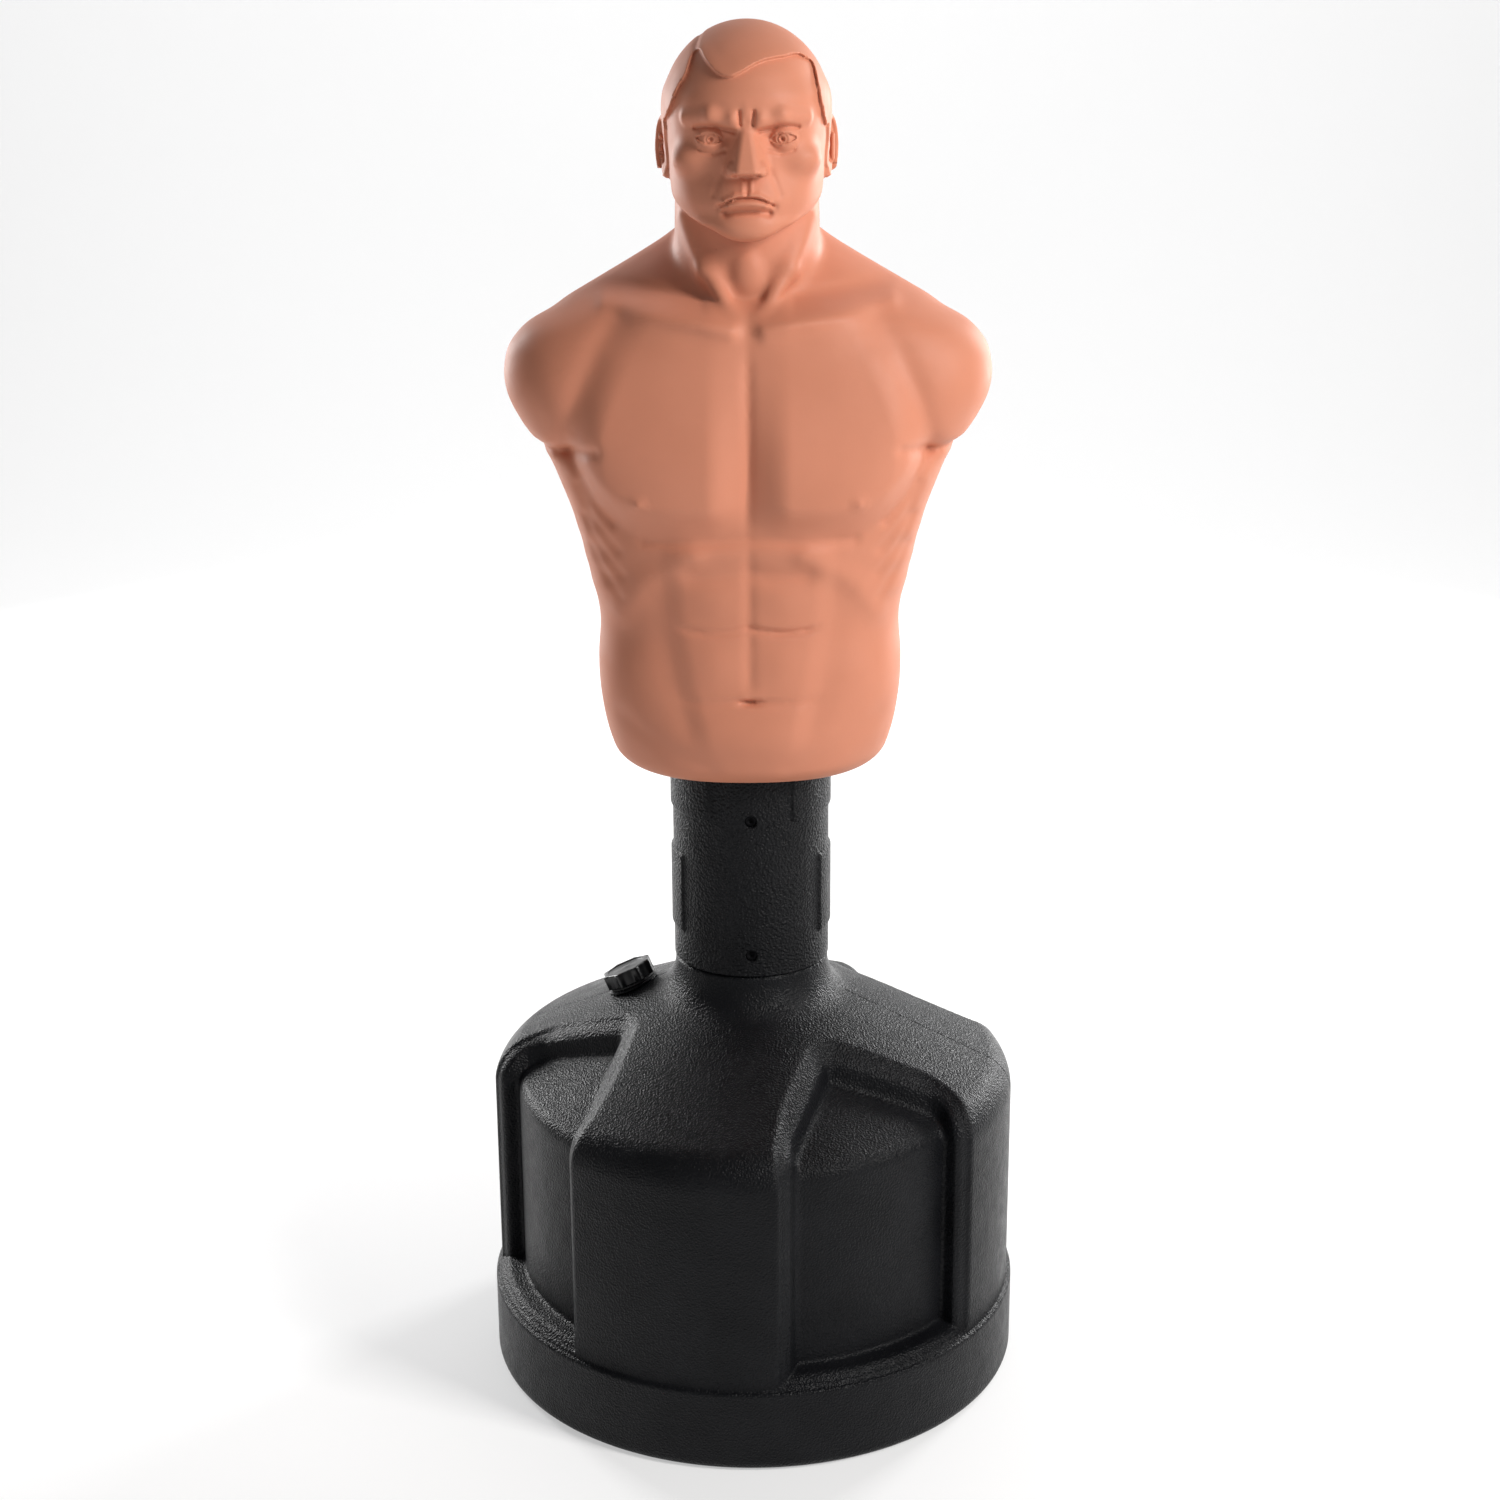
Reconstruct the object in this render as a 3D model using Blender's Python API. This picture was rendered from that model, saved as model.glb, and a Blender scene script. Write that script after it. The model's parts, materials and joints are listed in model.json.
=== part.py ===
"""Body opponent mannequin: a soft torso on a black post, on a round base that is filled with water.

Metres, +Z up. The origin is on the floor under the middle of the base, and the mannequin faces -Y.
Angles round the base are measured from the front, -Y, towards +X.
"""
import math

import bmesh
import bpy
from mathutils import Matrix, Vector

GAP = 0.0003                      # between pieces that touch
TURN_GAP = 0.0007                 # between facets that turn against each other

# Base
BAND_RADIUS = 0.3065              # foot band, the widest part of the base
BAND_TOP = 0.094
BAND_STEP = 0.005                 # height of the sloping step between band and body
BAND_EDGE = 0.012                 # round of the bottom edge
BODY_RADIUS = 0.301
SHOULDER_START = 0.3295           # height where the side starts to curve in
SHOULDER_RADIUS = 0.048
CONE_ANGLE = math.radians(24.3)   # slope of the top, from level
COLLAR_RADIUS = 0.087             # short collar that the post stands on
COLLAR_TOP = 0.4927
COLLAR_FILLET = 0.048
STUB_RADIUS = 0.0775              # the part of the base that goes up inside the post
STUB_TOP = 0.716
TANK_WALL = 0.006

# Four recessed panels round the base, house-shaped in plan, with walls that go in by two steps.
# Each has a long and a short roof side: (angle of its middle, side that the long one is on).
PANELS = [(29.0, 1), (127.5, 1), (-163.5, -1), (-65.0, -1)]
# Plan of the outer edge as (across, out), towards the long side first
PANEL_CORNERS = [(0.0125, 0.1405), (0.118, 0.207), (0.1295, 0.222), (0.1257, 0.274), (0.1200, 0.360),
                 (-0.1257, 0.360), (-0.1257, 0.270), (-0.0962, 0.2212), (-0.0180, 0.1520), (-0.0050, 0.1420)]
PANEL_BOTTOM = 0.098
PANEL_STEPS = [(0.004, 0.008), (0.020, 0.030)]      # inset from the outline, depth

# Post
POST_BOTTOM = 0.493
POST_RADIUS = 0.088
POST_INNER = 0.079
POST_STRAIGHT_TOP = 1.205
POST_TOP = 1.240
POST_NOSE_RADIUS = 0.055
BLOCK_PROUD = 0.0025              # height of the raised side blocks
BLOCK_PITCH = 0.0762              # three inches between settings
BLOCK_COUNT = 7
BLOCK_BOTTOM = 0.674
BLOCK_HEIGHT = 0.062
BLOCK_FROM_ANGLE = 30             # the front channel ends here
LOW_BLOCK = (0.5326, 0.6235)
LOW_BLOCK_FROM_ANGLE = 60

# Screws that hold the post on the base's stub
SCREW_HEIGHTS = {"lower": 0.5185, "upper": 0.677}
SCREW_SIDES = {"front": -1, "rear": 1}
SCREW_SHANK = 0.0034
SCREW_HEAD = 0.0062
SCREW_LENGTH = 0.026
SCREW_DRIVE = 0.0025              # radius and depth of the recess in the head
SCREW_DRIVE_DEPTH = 0.0022
SCREW_SUNK = 0.002                # the head's top lies this far under the post's surface
SINK_FROM = 0.0822                # the countersunk hole widens between these distances from the axis
SINK_TO = 0.0855
SINK_ROOM = 0.0004                # between the hole and the screw
INSERT_RADIUS = 0.0057
INSERT_LENGTH = 0.012

# Fill opening
FILL_ANGLE = math.radians(-108)
FILL_DISTANCE = 0.146             # from the base's axis
NECK_BORE = 0.0205
NECK_RADIUS = 0.0235
NECK_FLANGE = 0.0300
NECK_TOP = 0.0168
NECK_BOTTOM = -0.009
CAP_RADIUS = 0.0290
CAP_LOBES = 8
CAP_INNER = 0.0242
SEAL_BOTTOM = 0.0039
CAP_BOTTOM = 0.0062
CAP_TOP = 0.0240

# Water
WATER_RADIUS = 0.262
WATER_BOTTOM = 0.0066
WATER_TOP = 0.332

# Torso
TORSO_BOTTOM = 0.727
SKIN = 0.008
FOAM_GAP = 0.001                  # between the skin and the foam inside it
SLEEVE_INNER = 0.0932
SLEEVE_WALL = 0.0036
LUG_INNER = 0.0887
LUG_BOTTOM = 0.737
LUG_HEIGHT = 0.012
LUG_HALF_ANGLE = 22
SLEEVE_SEGMENTS = 36
RING_POINTS = 24

# Height, half width, reach to the front, reach to the back, squareness of the outline
TORSO_SECTIONS = [
    (0.727, 0.112, 0.107, 0.107, 2.1),
    (0.732, 0.130, 0.118, 0.117, 2.2),
    (0.744, 0.147, 0.126, 0.125, 2.3),
    (0.765, 0.157, 0.130, 0.130, 2.4),
    (0.805, 0.164, 0.131, 0.132, 2.4),
    (0.850, 0.166, 0.129, 0.128, 2.4),
    (0.897, 0.164, 0.126, 0.122, 2.4),
    (0.951, 0.176, 0.128, 0.121, 2.5),
    (1.005, 0.190, 0.134, 0.127, 2.6),
    (1.040, 0.203, 0.144, 0.133, 2.7),
    (1.076, 0.217, 0.148, 0.138, 2.6),
    (1.111, 0.243, 0.146, 0.142, 2.4),
    (1.145, 0.259, 0.139, 0.144, 2.3),
    (1.170, 0.260, 0.131, 0.144, 2.2),
    (1.197, 0.2506, 0.122, 0.140, 2.2),
    (1.214, 0.233, 0.116, 0.135, 2.2),
    (1.231, 0.205, 0.109, 0.129, 2.1),
    (1.248, 0.174, 0.101, 0.121, 2.0),
    (1.264, 0.146, 0.093, 0.113, 2.0),
    (1.281, 0.118, 0.083, 0.104, 2.0),
    (1.298, 0.090, 0.072, 0.096, 2.0),
    (1.306, 0.080, 0.086, 0.092, 2.0),
    (1.318, 0.075, 0.106, 0.088, 2.1),
    (1.345, 0.079, 0.113, 0.088, 2.2),
    (1.375, 0.083, 0.112, 0.098, 2.2),
    (1.408, 0.085, 0.110, 0.104, 2.2),
    (1.433, 0.087, 0.111, 0.105, 2.2),
    (1.458, 0.085, 0.105, 0.102, 2.2),
    (1.478, 0.077, 0.094, 0.094, 2.1),
    (1.495, 0.064, 0.077, 0.080, 2.0),
    (1.509, 0.046, 0.055, 0.060, 2.0),
    (1.519, 0.025, 0.030, 0.034, 2.0),
    (1.5235, 0.008, 0.010, 0.012, 2.0),
]
EAR_CENTRE = (0.086, 0.008, 1.393)
EAR_SIZE = (0.011, 0.016, 0.031)
NOSE_CENTRE = (0.0, -0.113, 1.388)
NOSE_SIZE = (0.014, 0.019, 0.024)


def make_material(name, color, roughness, metallic=0.0):
    material = bpy.data.materials.new(name)
    material.use_nodes = True
    shader = material.node_tree.nodes["Principled BSDF"]
    shader.inputs["Base Color"].default_value = (*color, 1.0)
    shader.inputs["Roughness"].default_value = roughness
    shader.inputs["Metallic"].default_value = metallic
    return material


def finish_object(name, mesh_builder, material=None):
    """Turn a bmesh into a named object with its faces pointing out and smooth shading."""
    bmesh.ops.recalc_face_normals(mesh_builder, faces=mesh_builder.faces)
    mesh = bpy.data.meshes.new(name)
    mesh_builder.to_mesh(mesh)
    mesh_builder.free()
    mesh.shade_smooth()
    mesh.set_sharp_from_angle(angle=math.radians(35))
    item = bpy.data.objects.new(name, mesh)
    bpy.context.collection.objects.link(item)
    if material:
        mesh.materials.append(material)
    return item


def combine(target, tool, operation="DIFFERENCE"):
    """Cut or join two closed objects, and remove the tool."""
    modifier = target.modifiers.new("combine", "BOOLEAN")
    modifier.operation = operation
    modifier.solver = "EXACT"
    modifier.object = tool
    bpy.context.view_layer.update()
    evaluated = target.evaluated_get(bpy.context.evaluated_depsgraph_get())
    mesh = bpy.data.meshes.new_from_object(evaluated)
    target.modifiers.clear()
    target.data = mesh
    bpy.data.objects.remove(tool)
    return target


def arc(centre, radius, start, end, steps):
    """Points round a centre (distance, height), from one angle to another, in degrees."""
    angles = [math.radians(start + (end - start) * i / steps) for i in range(steps + 1)]
    return [(centre[0] + radius * math.cos(a), centre[1] + radius * math.sin(a)) for a in angles]


def bridge_rings(mesh_builder, lower, upper):
    """Join two rings of vertices; either may be a single vertex on the axis."""
    count = max(len(lower), len(upper))
    for i in range(count):
        j = (i + 1) % count
        corners = [lower[i % len(lower)], lower[j % len(lower)],
                   upper[j % len(upper)], upper[i % len(upper)]]
        mesh_builder.faces.new(list(dict.fromkeys(corners)))


def turned_mesh(outline, segments):
    """Turn an outline of (distance, height) points about Z. It starts and ends on the axis, or closes."""
    mesh_builder = bmesh.new()
    rings = []
    for distance, height in outline:
        count = segments if distance > 1e-6 else 1
        angles = [math.tau * i / segments for i in range(count)]
        rings.append([mesh_builder.verts.new((distance * math.cos(a), distance * math.sin(a), height))
                      for a in angles])
    for lower, upper in zip(rings, rings[1:] + rings[:1]):
        if len(lower) + len(upper) > 2:
            bridge_rings(mesh_builder, lower, upper)
    bmesh.ops.recalc_face_normals(mesh_builder, faces=mesh_builder.faces)
    return mesh_builder


def turn(name, outline, segments, material=None):
    return finish_object(name, turned_mesh(outline, segments), material)


def ring_outline(inner, outer, bottom, top):
    return [(inner, bottom), (outer, bottom), (outer, top), (inner, top)]


def rod_outline(radius, bottom, top):
    return [(0, bottom), (radius, bottom), (radius, top), (0, top)]


def slope_height(distance, depth=0.0):
    """Height of the base's sloping top, or of a surface that lies depth under it."""
    start = (BODY_RADIUS - SHOULDER_RADIUS + SHOULDER_RADIUS * math.sin(CONE_ANGLE),
             SHOULDER_START + SHOULDER_RADIUS * math.cos(CONE_ANGLE))
    return start[1] + (start[0] - distance) * math.tan(CONE_ANGLE) - depth / math.cos(CONE_ANGLE)


# ---- base ----

def base_outline(inset, arc_steps):
    """Outline of the whole base, or of the space inside a wall as thick as inset."""
    shoulder = (BODY_RADIUS - SHOULDER_RADIUS, SHOULDER_START)
    slope_degrees = math.degrees(CONE_ANGLE)
    fillet_radius = COLLAR_FILLET + inset
    fillet_distance = COLLAR_RADIUS + COLLAR_FILLET
    fillet_start = fillet_distance - fillet_radius * math.sin(CONE_ANGLE)
    fillet_height = slope_height(fillet_start, inset) + fillet_radius * math.cos(CONE_ANGLE)
    edge = BAND_EDGE - inset
    outline = [(0, inset)]
    outline += arc((BAND_RADIUS - BAND_EDGE, BAND_EDGE), edge, -90, 0, 3)
    outline += [(BAND_RADIUS - inset, BAND_TOP - inset), (BODY_RADIUS - inset, BAND_TOP + BAND_STEP - inset)]
    outline += arc(shoulder, SHOULDER_RADIUS - inset, 0, 90 - slope_degrees, arc_steps)
    outline += arc((fillet_distance, fillet_height), fillet_radius, 270 - slope_degrees, 185, arc_steps)
    if inset == 0:
        outline += [(COLLAR_RADIUS, COLLAR_TOP), (STUB_RADIUS, COLLAR_TOP)]
    else:
        outline += [(STUB_RADIUS - inset, COLLAR_TOP - inset)]
    outline += [(STUB_RADIUS - inset, STUB_TOP - inset), (0, STUB_TOP - inset)]
    return outline


def house_outline(inset):
    """Plan of a panel: the corners of its outer edge, with each side moved in by inset."""
    sides = []
    for (x0, y0), (x1, y1) in zip(PANEL_CORNERS, PANEL_CORNERS[1:] + PANEL_CORNERS[:1]):
        length = math.hypot(x1 - x0, y1 - y0)
        normal = Vector(((y1 - y0) / length, (x0 - x1) / length))
        sides.append((normal, normal.dot(Vector((x0, y0))) - inset))
    corners = []
    for (n0, d0), (n1, d1) in zip(sides[-1:] + sides[:-1], sides):
        cross = n0.x * n1.y - n0.y * n1.x
        corners.append(((d0 * n1.y - d1 * n0.y) / cross, (n0.x * d1 - n1.x * d0) / cross))
    return corners


def panel_cutter(inset, depth, wall):
    """The space of all four panels between the base's surface and a surface that lies depth under it."""
    mesh_builder = bmesh.new()
    bottom = PANEL_BOTTOM + (inset * 0.5 if wall == 0 else -wall)
    for angle, long_side in PANELS:
        turn_by = math.radians(angle)
        out = Vector((math.sin(turn_by), -math.cos(turn_by), 0))
        across = Vector((math.cos(turn_by), math.sin(turn_by), 0)) * long_side
        plan = [across * a + out * o for a, o in house_outline(inset - wall)]
        lower = [mesh_builder.verts.new(p + Vector((0, 0, bottom))) for p in plan]
        upper = [mesh_builder.verts.new(p + Vector((0, 0, COLLAR_TOP))) for p in plan]
        bridge_rings(mesh_builder, lower, upper)
        mesh_builder.faces.new(lower)
        mesh_builder.faces.new(upper)
    houses = finish_object("houses", mesh_builder)
    sunk = depth + wall
    radius = max(SHOULDER_RADIUS - sunk, 0.008)
    corner = (BODY_RADIUS - sunk - radius, SHOULDER_START)
    core = [(0, 0.03), (BODY_RADIUS - sunk, 0.03)]
    core += arc(corner, radius, 0, 90 - math.degrees(CONE_ANGLE), 4)
    core += [(0.06, slope_height(0.06, sunk)), (0.06, 0.6), (0, 0.6)]
    return combine(houses, turn("core", core, 48))


def tank_solid(name, wall, segments, arc_steps, material=None):
    solid = turn(name, base_outline(wall, arc_steps), segments, material)
    for inset, depth in PANEL_STEPS:
        combine(solid, panel_cutter(inset, depth, wall))
    return solid


def fill_frame():
    """Place and tilt of the fill opening: its local Z stands square on the base's sloping top."""
    outward = Vector((math.sin(FILL_ANGLE), -math.cos(FILL_ANGLE), 0))
    place = outward * FILL_DISTANCE + Vector((0, 0, slope_height(FILL_DISTANCE)))
    axis = outward * math.sin(CONE_ANGLE) + Vector((0, 0, math.cos(CONE_ANGLE)))
    return Matrix.Translation(place) @ axis.to_track_quat("Z", "Y").to_matrix().to_4x4()


def screw_frame(side, height):
    """Place of a screw: its local Z points out through the post's front or rear."""
    out = Vector((0, side, 0))
    return Matrix.Translation((0, 0, height)) @ out.to_track_quat("Z", "Y").to_matrix().to_4x4()


def cut_rod(target, frame, radius, bottom, top, segments=16):
    tool = turn("tool", rod_outline(radius, bottom, top), segments)
    tool.matrix_world = frame
    combine(target, tool)


def make_base(plastic):
    base = tank_solid("base_tank", 0.0, 48, 4, plastic)
    combine(base, tank_solid("hollow", TANK_WALL, 32, 3))
    cut_rod(base, fill_frame(), NECK_RADIUS + GAP, -0.02, 0.02, 20)
    for height in SCREW_HEIGHTS.values():
        for side in SCREW_SIDES.values():
            cut_rod(base, screw_frame(side, height), INSERT_RADIUS + GAP, 0.05, 0.10)


def make_water(water):
    turn("water_ballast", rod_outline(WATER_RADIUS, WATER_BOTTOM, WATER_TOP), 32, water)


# ---- post ----

def block_bands():
    """(bottom, top, first angle) of each pair of raised blocks, from the lowest up."""
    bands = [(*LOW_BLOCK, LOW_BLOCK_FROM_ANGLE)]
    for i in range(BLOCK_COUNT):
        bottom = BLOCK_BOTTOM + i * BLOCK_PITCH
        bands.append((bottom, bottom + BLOCK_HEIGHT, BLOCK_FROM_ANGLE))
    return bands


def nose_outline(grow, bottom_grow, steps):
    """The post's domed top, from its straight side to the axis, grown outwards."""
    rise = POST_TOP - POST_STRAIGHT_TOP
    points = []
    for i in range(steps + 1):
        angle = math.pi / 2 * i / steps
        distance = POST_NOSE_RADIUS + (POST_RADIUS - POST_NOSE_RADIUS) * math.cos(angle)
        points.append((distance + grow, POST_STRAIGHT_TOP + rise * math.sin(angle) + bottom_grow))
    return points + [(0, POST_TOP + bottom_grow)]


def make_post(plastic):
    heights = sorted({level for low, high, _ in block_bands() for level in (low, high)})
    outline = [(POST_INNER, POST_BOTTOM), (POST_RADIUS - 0.002, POST_BOTTOM), (POST_RADIUS, POST_BOTTOM + 0.002)]
    outline += [(POST_RADIUS, height) for height in heights]
    outline += nose_outline(0, 0, 4)
    wall = POST_RADIUS - POST_INNER
    inner = nose_outline(-wall, -wall, 3)
    outline += [(0, POST_TOP - wall)] + inner[-2::-1]
    mesh_builder = turned_mesh(outline, SLEEVE_SEGMENTS)
    for bottom, top, first_angle in block_bands():
        for side in (-1, 1):
            raise_block(mesh_builder, bottom, top, first_angle, side)
    post = finish_object("post_tube", mesh_builder, plastic)
    bore = SCREW_SHANK + SINK_ROOM
    sink = SCREW_HEAD + SINK_ROOM
    hole = [(0, 0.06), (bore, 0.06), (bore, SINK_FROM), (sink, SINK_TO), (sink, 0.10), (0, 0.10)]
    for height in SCREW_HEIGHTS.values():
        for side in SCREW_SIDES.values():
            tool = turn("tool", hole, 16)
            tool.matrix_world = screw_frame(side, height)
            combine(post, tool)


def raise_block(mesh_builder, bottom, top, first_angle, side):
    """Extrude the outer faces between two heights and two angles from the front, on one side."""
    chosen = []
    for face in mesh_builder.faces:
        centre = face.calc_center_median()
        distance = math.hypot(centre.x, centre.y)
        angle = math.degrees(math.atan2(centre.x * side, -centre.y))
        inside = bottom < centre.z < top and first_angle < angle < 180 - first_angle
        if inside and distance > POST_RADIUS - 0.002:
            chosen.append(face)
    made = bmesh.ops.extrude_face_region(mesh_builder, geom=chosen)
    bmesh.ops.delete(mesh_builder, geom=chosen, context="FACES")
    for item in made["geom"]:
        if isinstance(item, bmesh.types.BMVert):
            distance = math.hypot(item.co.x, item.co.y)
            item.co.x *= (distance + BLOCK_PROUD) / distance
            item.co.y *= (distance + BLOCK_PROUD) / distance


def make_screws(steel, brass):
    head_top = POST_RADIUS - SCREW_SUNK
    tip = head_top - SCREW_LENGTH
    drive_floor = head_top - SCREW_DRIVE_DEPTH
    outline = [(0, tip), (SCREW_SHANK, tip), (SCREW_SHANK, SINK_FROM + SINK_ROOM), (SCREW_HEAD, SINK_TO),
               (SCREW_HEAD, head_top), (SCREW_DRIVE, head_top), (SCREW_DRIVE, drive_floor), (0, drive_floor)]
    insert_top = STUB_RADIUS - GAP
    for height_name, height in SCREW_HEIGHTS.items():
        for side_name, side in SCREW_SIDES.items():
            frame = screw_frame(side, height)
            screw = turn(f"post_screw_{side_name}_{height_name}", outline, 12, steel)
            screw.matrix_world = frame
            ring = ring_outline(SCREW_SHANK + GAP, INSERT_RADIUS, insert_top - INSERT_LENGTH, insert_top)
            insert = turn(f"threaded_insert_{side_name}_{height_name}", ring, 12, brass)
            insert.matrix_world = frame


# ---- fill opening ----

def make_fill_parts(plastic, rubber):
    frame = fill_frame()
    neck_outline = [(NECK_BORE, NECK_BOTTOM), (NECK_RADIUS, NECK_BOTTOM), (NECK_RADIUS, 0.0006),
                    (NECK_FLANGE, 0.0006), (NECK_FLANGE - 0.001, 0.0036), (NECK_RADIUS, 0.0036),
                    (NECK_RADIUS, NECK_TOP), (NECK_BORE, NECK_TOP)]
    neck = turn("fill_neck", neck_outline, 24, plastic)
    neck.matrix_world = frame
    seal = turn("cap_seal", ring_outline(CAP_INNER, CAP_RADIUS - 0.002, SEAL_BOTTOM, CAP_BOTTOM - GAP), 24, rubber)
    seal.matrix_world = frame
    make_cap(plastic).matrix_world = frame


def make_cap(plastic):
    """Cup-shaped cap with a lobed grip, thread inside."""
    points_per_lobe = 4
    count = CAP_LOBES * points_per_lobe
    mesh_builder = bmesh.new()

    def ring(radius, height, lobed):
        verts = []
        for i in range(count):
            swell = 0.0012 * math.cos(math.tau * i / points_per_lobe) if lobed else 0.0
            angle = math.tau * i / count
            place = ((radius + swell) * math.cos(angle), (radius + swell) * math.sin(angle), height)
            verts.append(mesh_builder.verts.new(place))
        return verts

    rings = [ring(CAP_INNER, CAP_BOTTOM, False), ring(CAP_RADIUS, CAP_BOTTOM, True),
             ring(CAP_RADIUS, CAP_TOP - 0.002, True), ring(CAP_RADIUS - 0.0025, CAP_TOP, False),
             ring(CAP_INNER, NECK_TOP + 0.0008, False)]
    for lower, upper in zip(rings[:3], rings[1:4]):
        bridge_rings(mesh_builder, lower, upper)
    mesh_builder.faces.new(rings[3])
    mesh_builder.faces.new(rings[4])
    bridge_rings(mesh_builder, rings[4], rings[0])
    return finish_object("fill_cap", mesh_builder, plastic)


# ---- torso ----

def section_ring(mesh_builder, section, inset):
    """One level ring of the torso: a rounded outline that reaches differently to front and back."""
    height, half_width, front, back, squareness = section
    power = 2.0 / squareness
    verts = []
    for i in range(RING_POINTS):
        angle = math.tau * i / RING_POINTS
        cosine = math.cos(angle)
        sine = math.sin(angle)
        reach = back if sine > 0 else front
        x = math.copysign(abs(cosine) ** power, cosine) * (half_width - inset)
        y = math.copysign(abs(sine) ** power, sine) * (reach - inset)
        verts.append(mesh_builder.verts.new((x, y, height)))
    return verts


def torso_solid(name, inset, material=None):
    """The torso and head, or the same form inside a skin as thick as inset."""
    height = TORSO_SECTIONS[-1][0] - TORSO_BOTTOM
    shrink = (height - 2 * inset) / height
    mesh_builder = bmesh.new()
    rings = []
    for section in TORSO_SECTIONS:
        level = TORSO_BOTTOM + inset + (section[0] - TORSO_BOTTOM) * shrink
        narrow = min(inset, section[1] * 0.5)
        rings.append(section_ring(mesh_builder, (level, *section[1:]), narrow))
    for lower, upper in zip(rings, rings[1:]):
        bridge_rings(mesh_builder, lower, upper)
    mesh_builder.faces.new(rings[0])
    mesh_builder.faces.new(rings[-1])
    bmesh.ops.triangulate(mesh_builder, faces=mesh_builder.faces, quad_method="FIXED")
    return finish_object(name, mesh_builder, material)


def make_blob(centre, size):
    mesh_builder = bmesh.new()
    bmesh.ops.create_uvsphere(mesh_builder, u_segments=12, v_segments=8, radius=1.0)
    bmesh.ops.scale(mesh_builder, vec=size, verts=mesh_builder.verts)
    bmesh.ops.translate(mesh_builder, vec=centre, verts=mesh_builder.verts)
    return finish_object("blob", mesh_builder)


def sleeve_outline(grow):
    """Outer side of the sleeve, from its mouth up over its closed top."""
    outer = SLEEVE_INNER + SLEEVE_WALL + grow
    top = GAP + SLEEVE_WALL + grow
    return [(outer, TORSO_BOTTOM), *nose_outline(outer - POST_RADIUS, top, 4)]


def make_torso(vinyl, foam, plastic):
    skin = torso_solid("torso_skin", 0.0, vinyl)
    ear_x, ear_y, ear_z = EAR_CENTRE
    for centre in ((ear_x, ear_y, ear_z), (-ear_x, ear_y, ear_z)):
        combine(skin, make_blob(centre, EAR_SIZE), "UNION")
    combine(skin, make_blob(NOSE_CENTRE, NOSE_SIZE), "UNION")
    combine(skin, torso_solid("inside", SKIN))
    room = sleeve_outline(TURN_GAP)
    mouth = room[0][0]
    cut_rod(skin, Matrix(), mouth, TORSO_BOTTOM - 0.02, TORSO_BOTTOM + 0.02, SLEEVE_SEGMENTS)

    core = torso_solid("foam_core", SKIN + FOAM_GAP, foam)
    socket = [(0, TORSO_BOTTOM - 0.02), (mouth, TORSO_BOTTOM - 0.02), *room[1:]]
    combine(core, turn("socket", socket, SLEEVE_SEGMENTS))

    outer = sleeve_outline(0)
    inner = nose_outline(SLEEVE_INNER - POST_RADIUS, GAP, 4)
    outline = outer + inner[::-1] + [(SLEEVE_INNER, TORSO_BOTTOM)]
    turn("socket_sleeve", outline, SLEEVE_SEGMENTS, plastic)
    make_lugs(plastic)


def make_lugs(plastic):
    """Two lugs inside the sleeve that run in the post's front and rear channels."""
    outer = SLEEVE_INNER - TURN_GAP
    steps = 4
    for side_name, side in SCREW_SIDES.items():
        mesh_builder = bmesh.new()
        angles = [math.radians(LUG_HALF_ANGLE * (2 * i / steps - 1)) for i in range(steps + 1)]
        plan = [(outer * math.sin(a), side * outer * math.cos(a)) for a in angles]
        plan += [(LUG_INNER * math.sin(a), side * LUG_INNER * math.cos(a)) for a in reversed(angles)]
        lower = [mesh_builder.verts.new((x, y, LUG_BOTTOM)) for x, y in plan]
        upper = [mesh_builder.verts.new((x, y, LUG_BOTTOM + LUG_HEIGHT)) for x, y in plan]
        bridge_rings(mesh_builder, lower, upper)
        mesh_builder.faces.new(lower)
        mesh_builder.faces.new(upper)
        finish_object(f"lock_lug_{side_name}", mesh_builder, plastic)


def main():
    for item in list(bpy.data.objects):
        bpy.data.objects.remove(item)
    plastic = make_material("black_plastic", (0.035, 0.036, 0.040), 0.55)
    vinyl = make_material("skin_vinyl", (0.62, 0.27, 0.18), 0.45)
    foam = make_material("foam", (0.85, 0.78, 0.60), 0.9)
    steel = make_material("dark_steel", (0.05, 0.05, 0.055), 0.35, 1.0)
    brass = make_material("brass", (0.70, 0.52, 0.22), 0.35, 1.0)
    rubber = make_material("seal_rubber", (0.02, 0.02, 0.02), 0.8)
    water = make_material("water", (0.30, 0.45, 0.52), 0.1)
    make_base(plastic)
    make_water(water)
    make_post(plastic)
    make_screws(steel, brass)
    make_fill_parts(plastic, rubber)
    make_torso(vinyl, foam, plastic)


main()
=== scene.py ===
"""Body opponent mannequin, finished: sculpted vinyl torso, grained black post and base, fill cap and screws.

Metres, +Z up, in the CAD model's frame. The mannequin faces -Y. The torso, the head and the base are
grown from fields: functions that are negative inside the form and zero on its surface.
"""
import json
import math

import bmesh
import bpy
import numpy as np
from mathutils import Matrix, Vector


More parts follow.
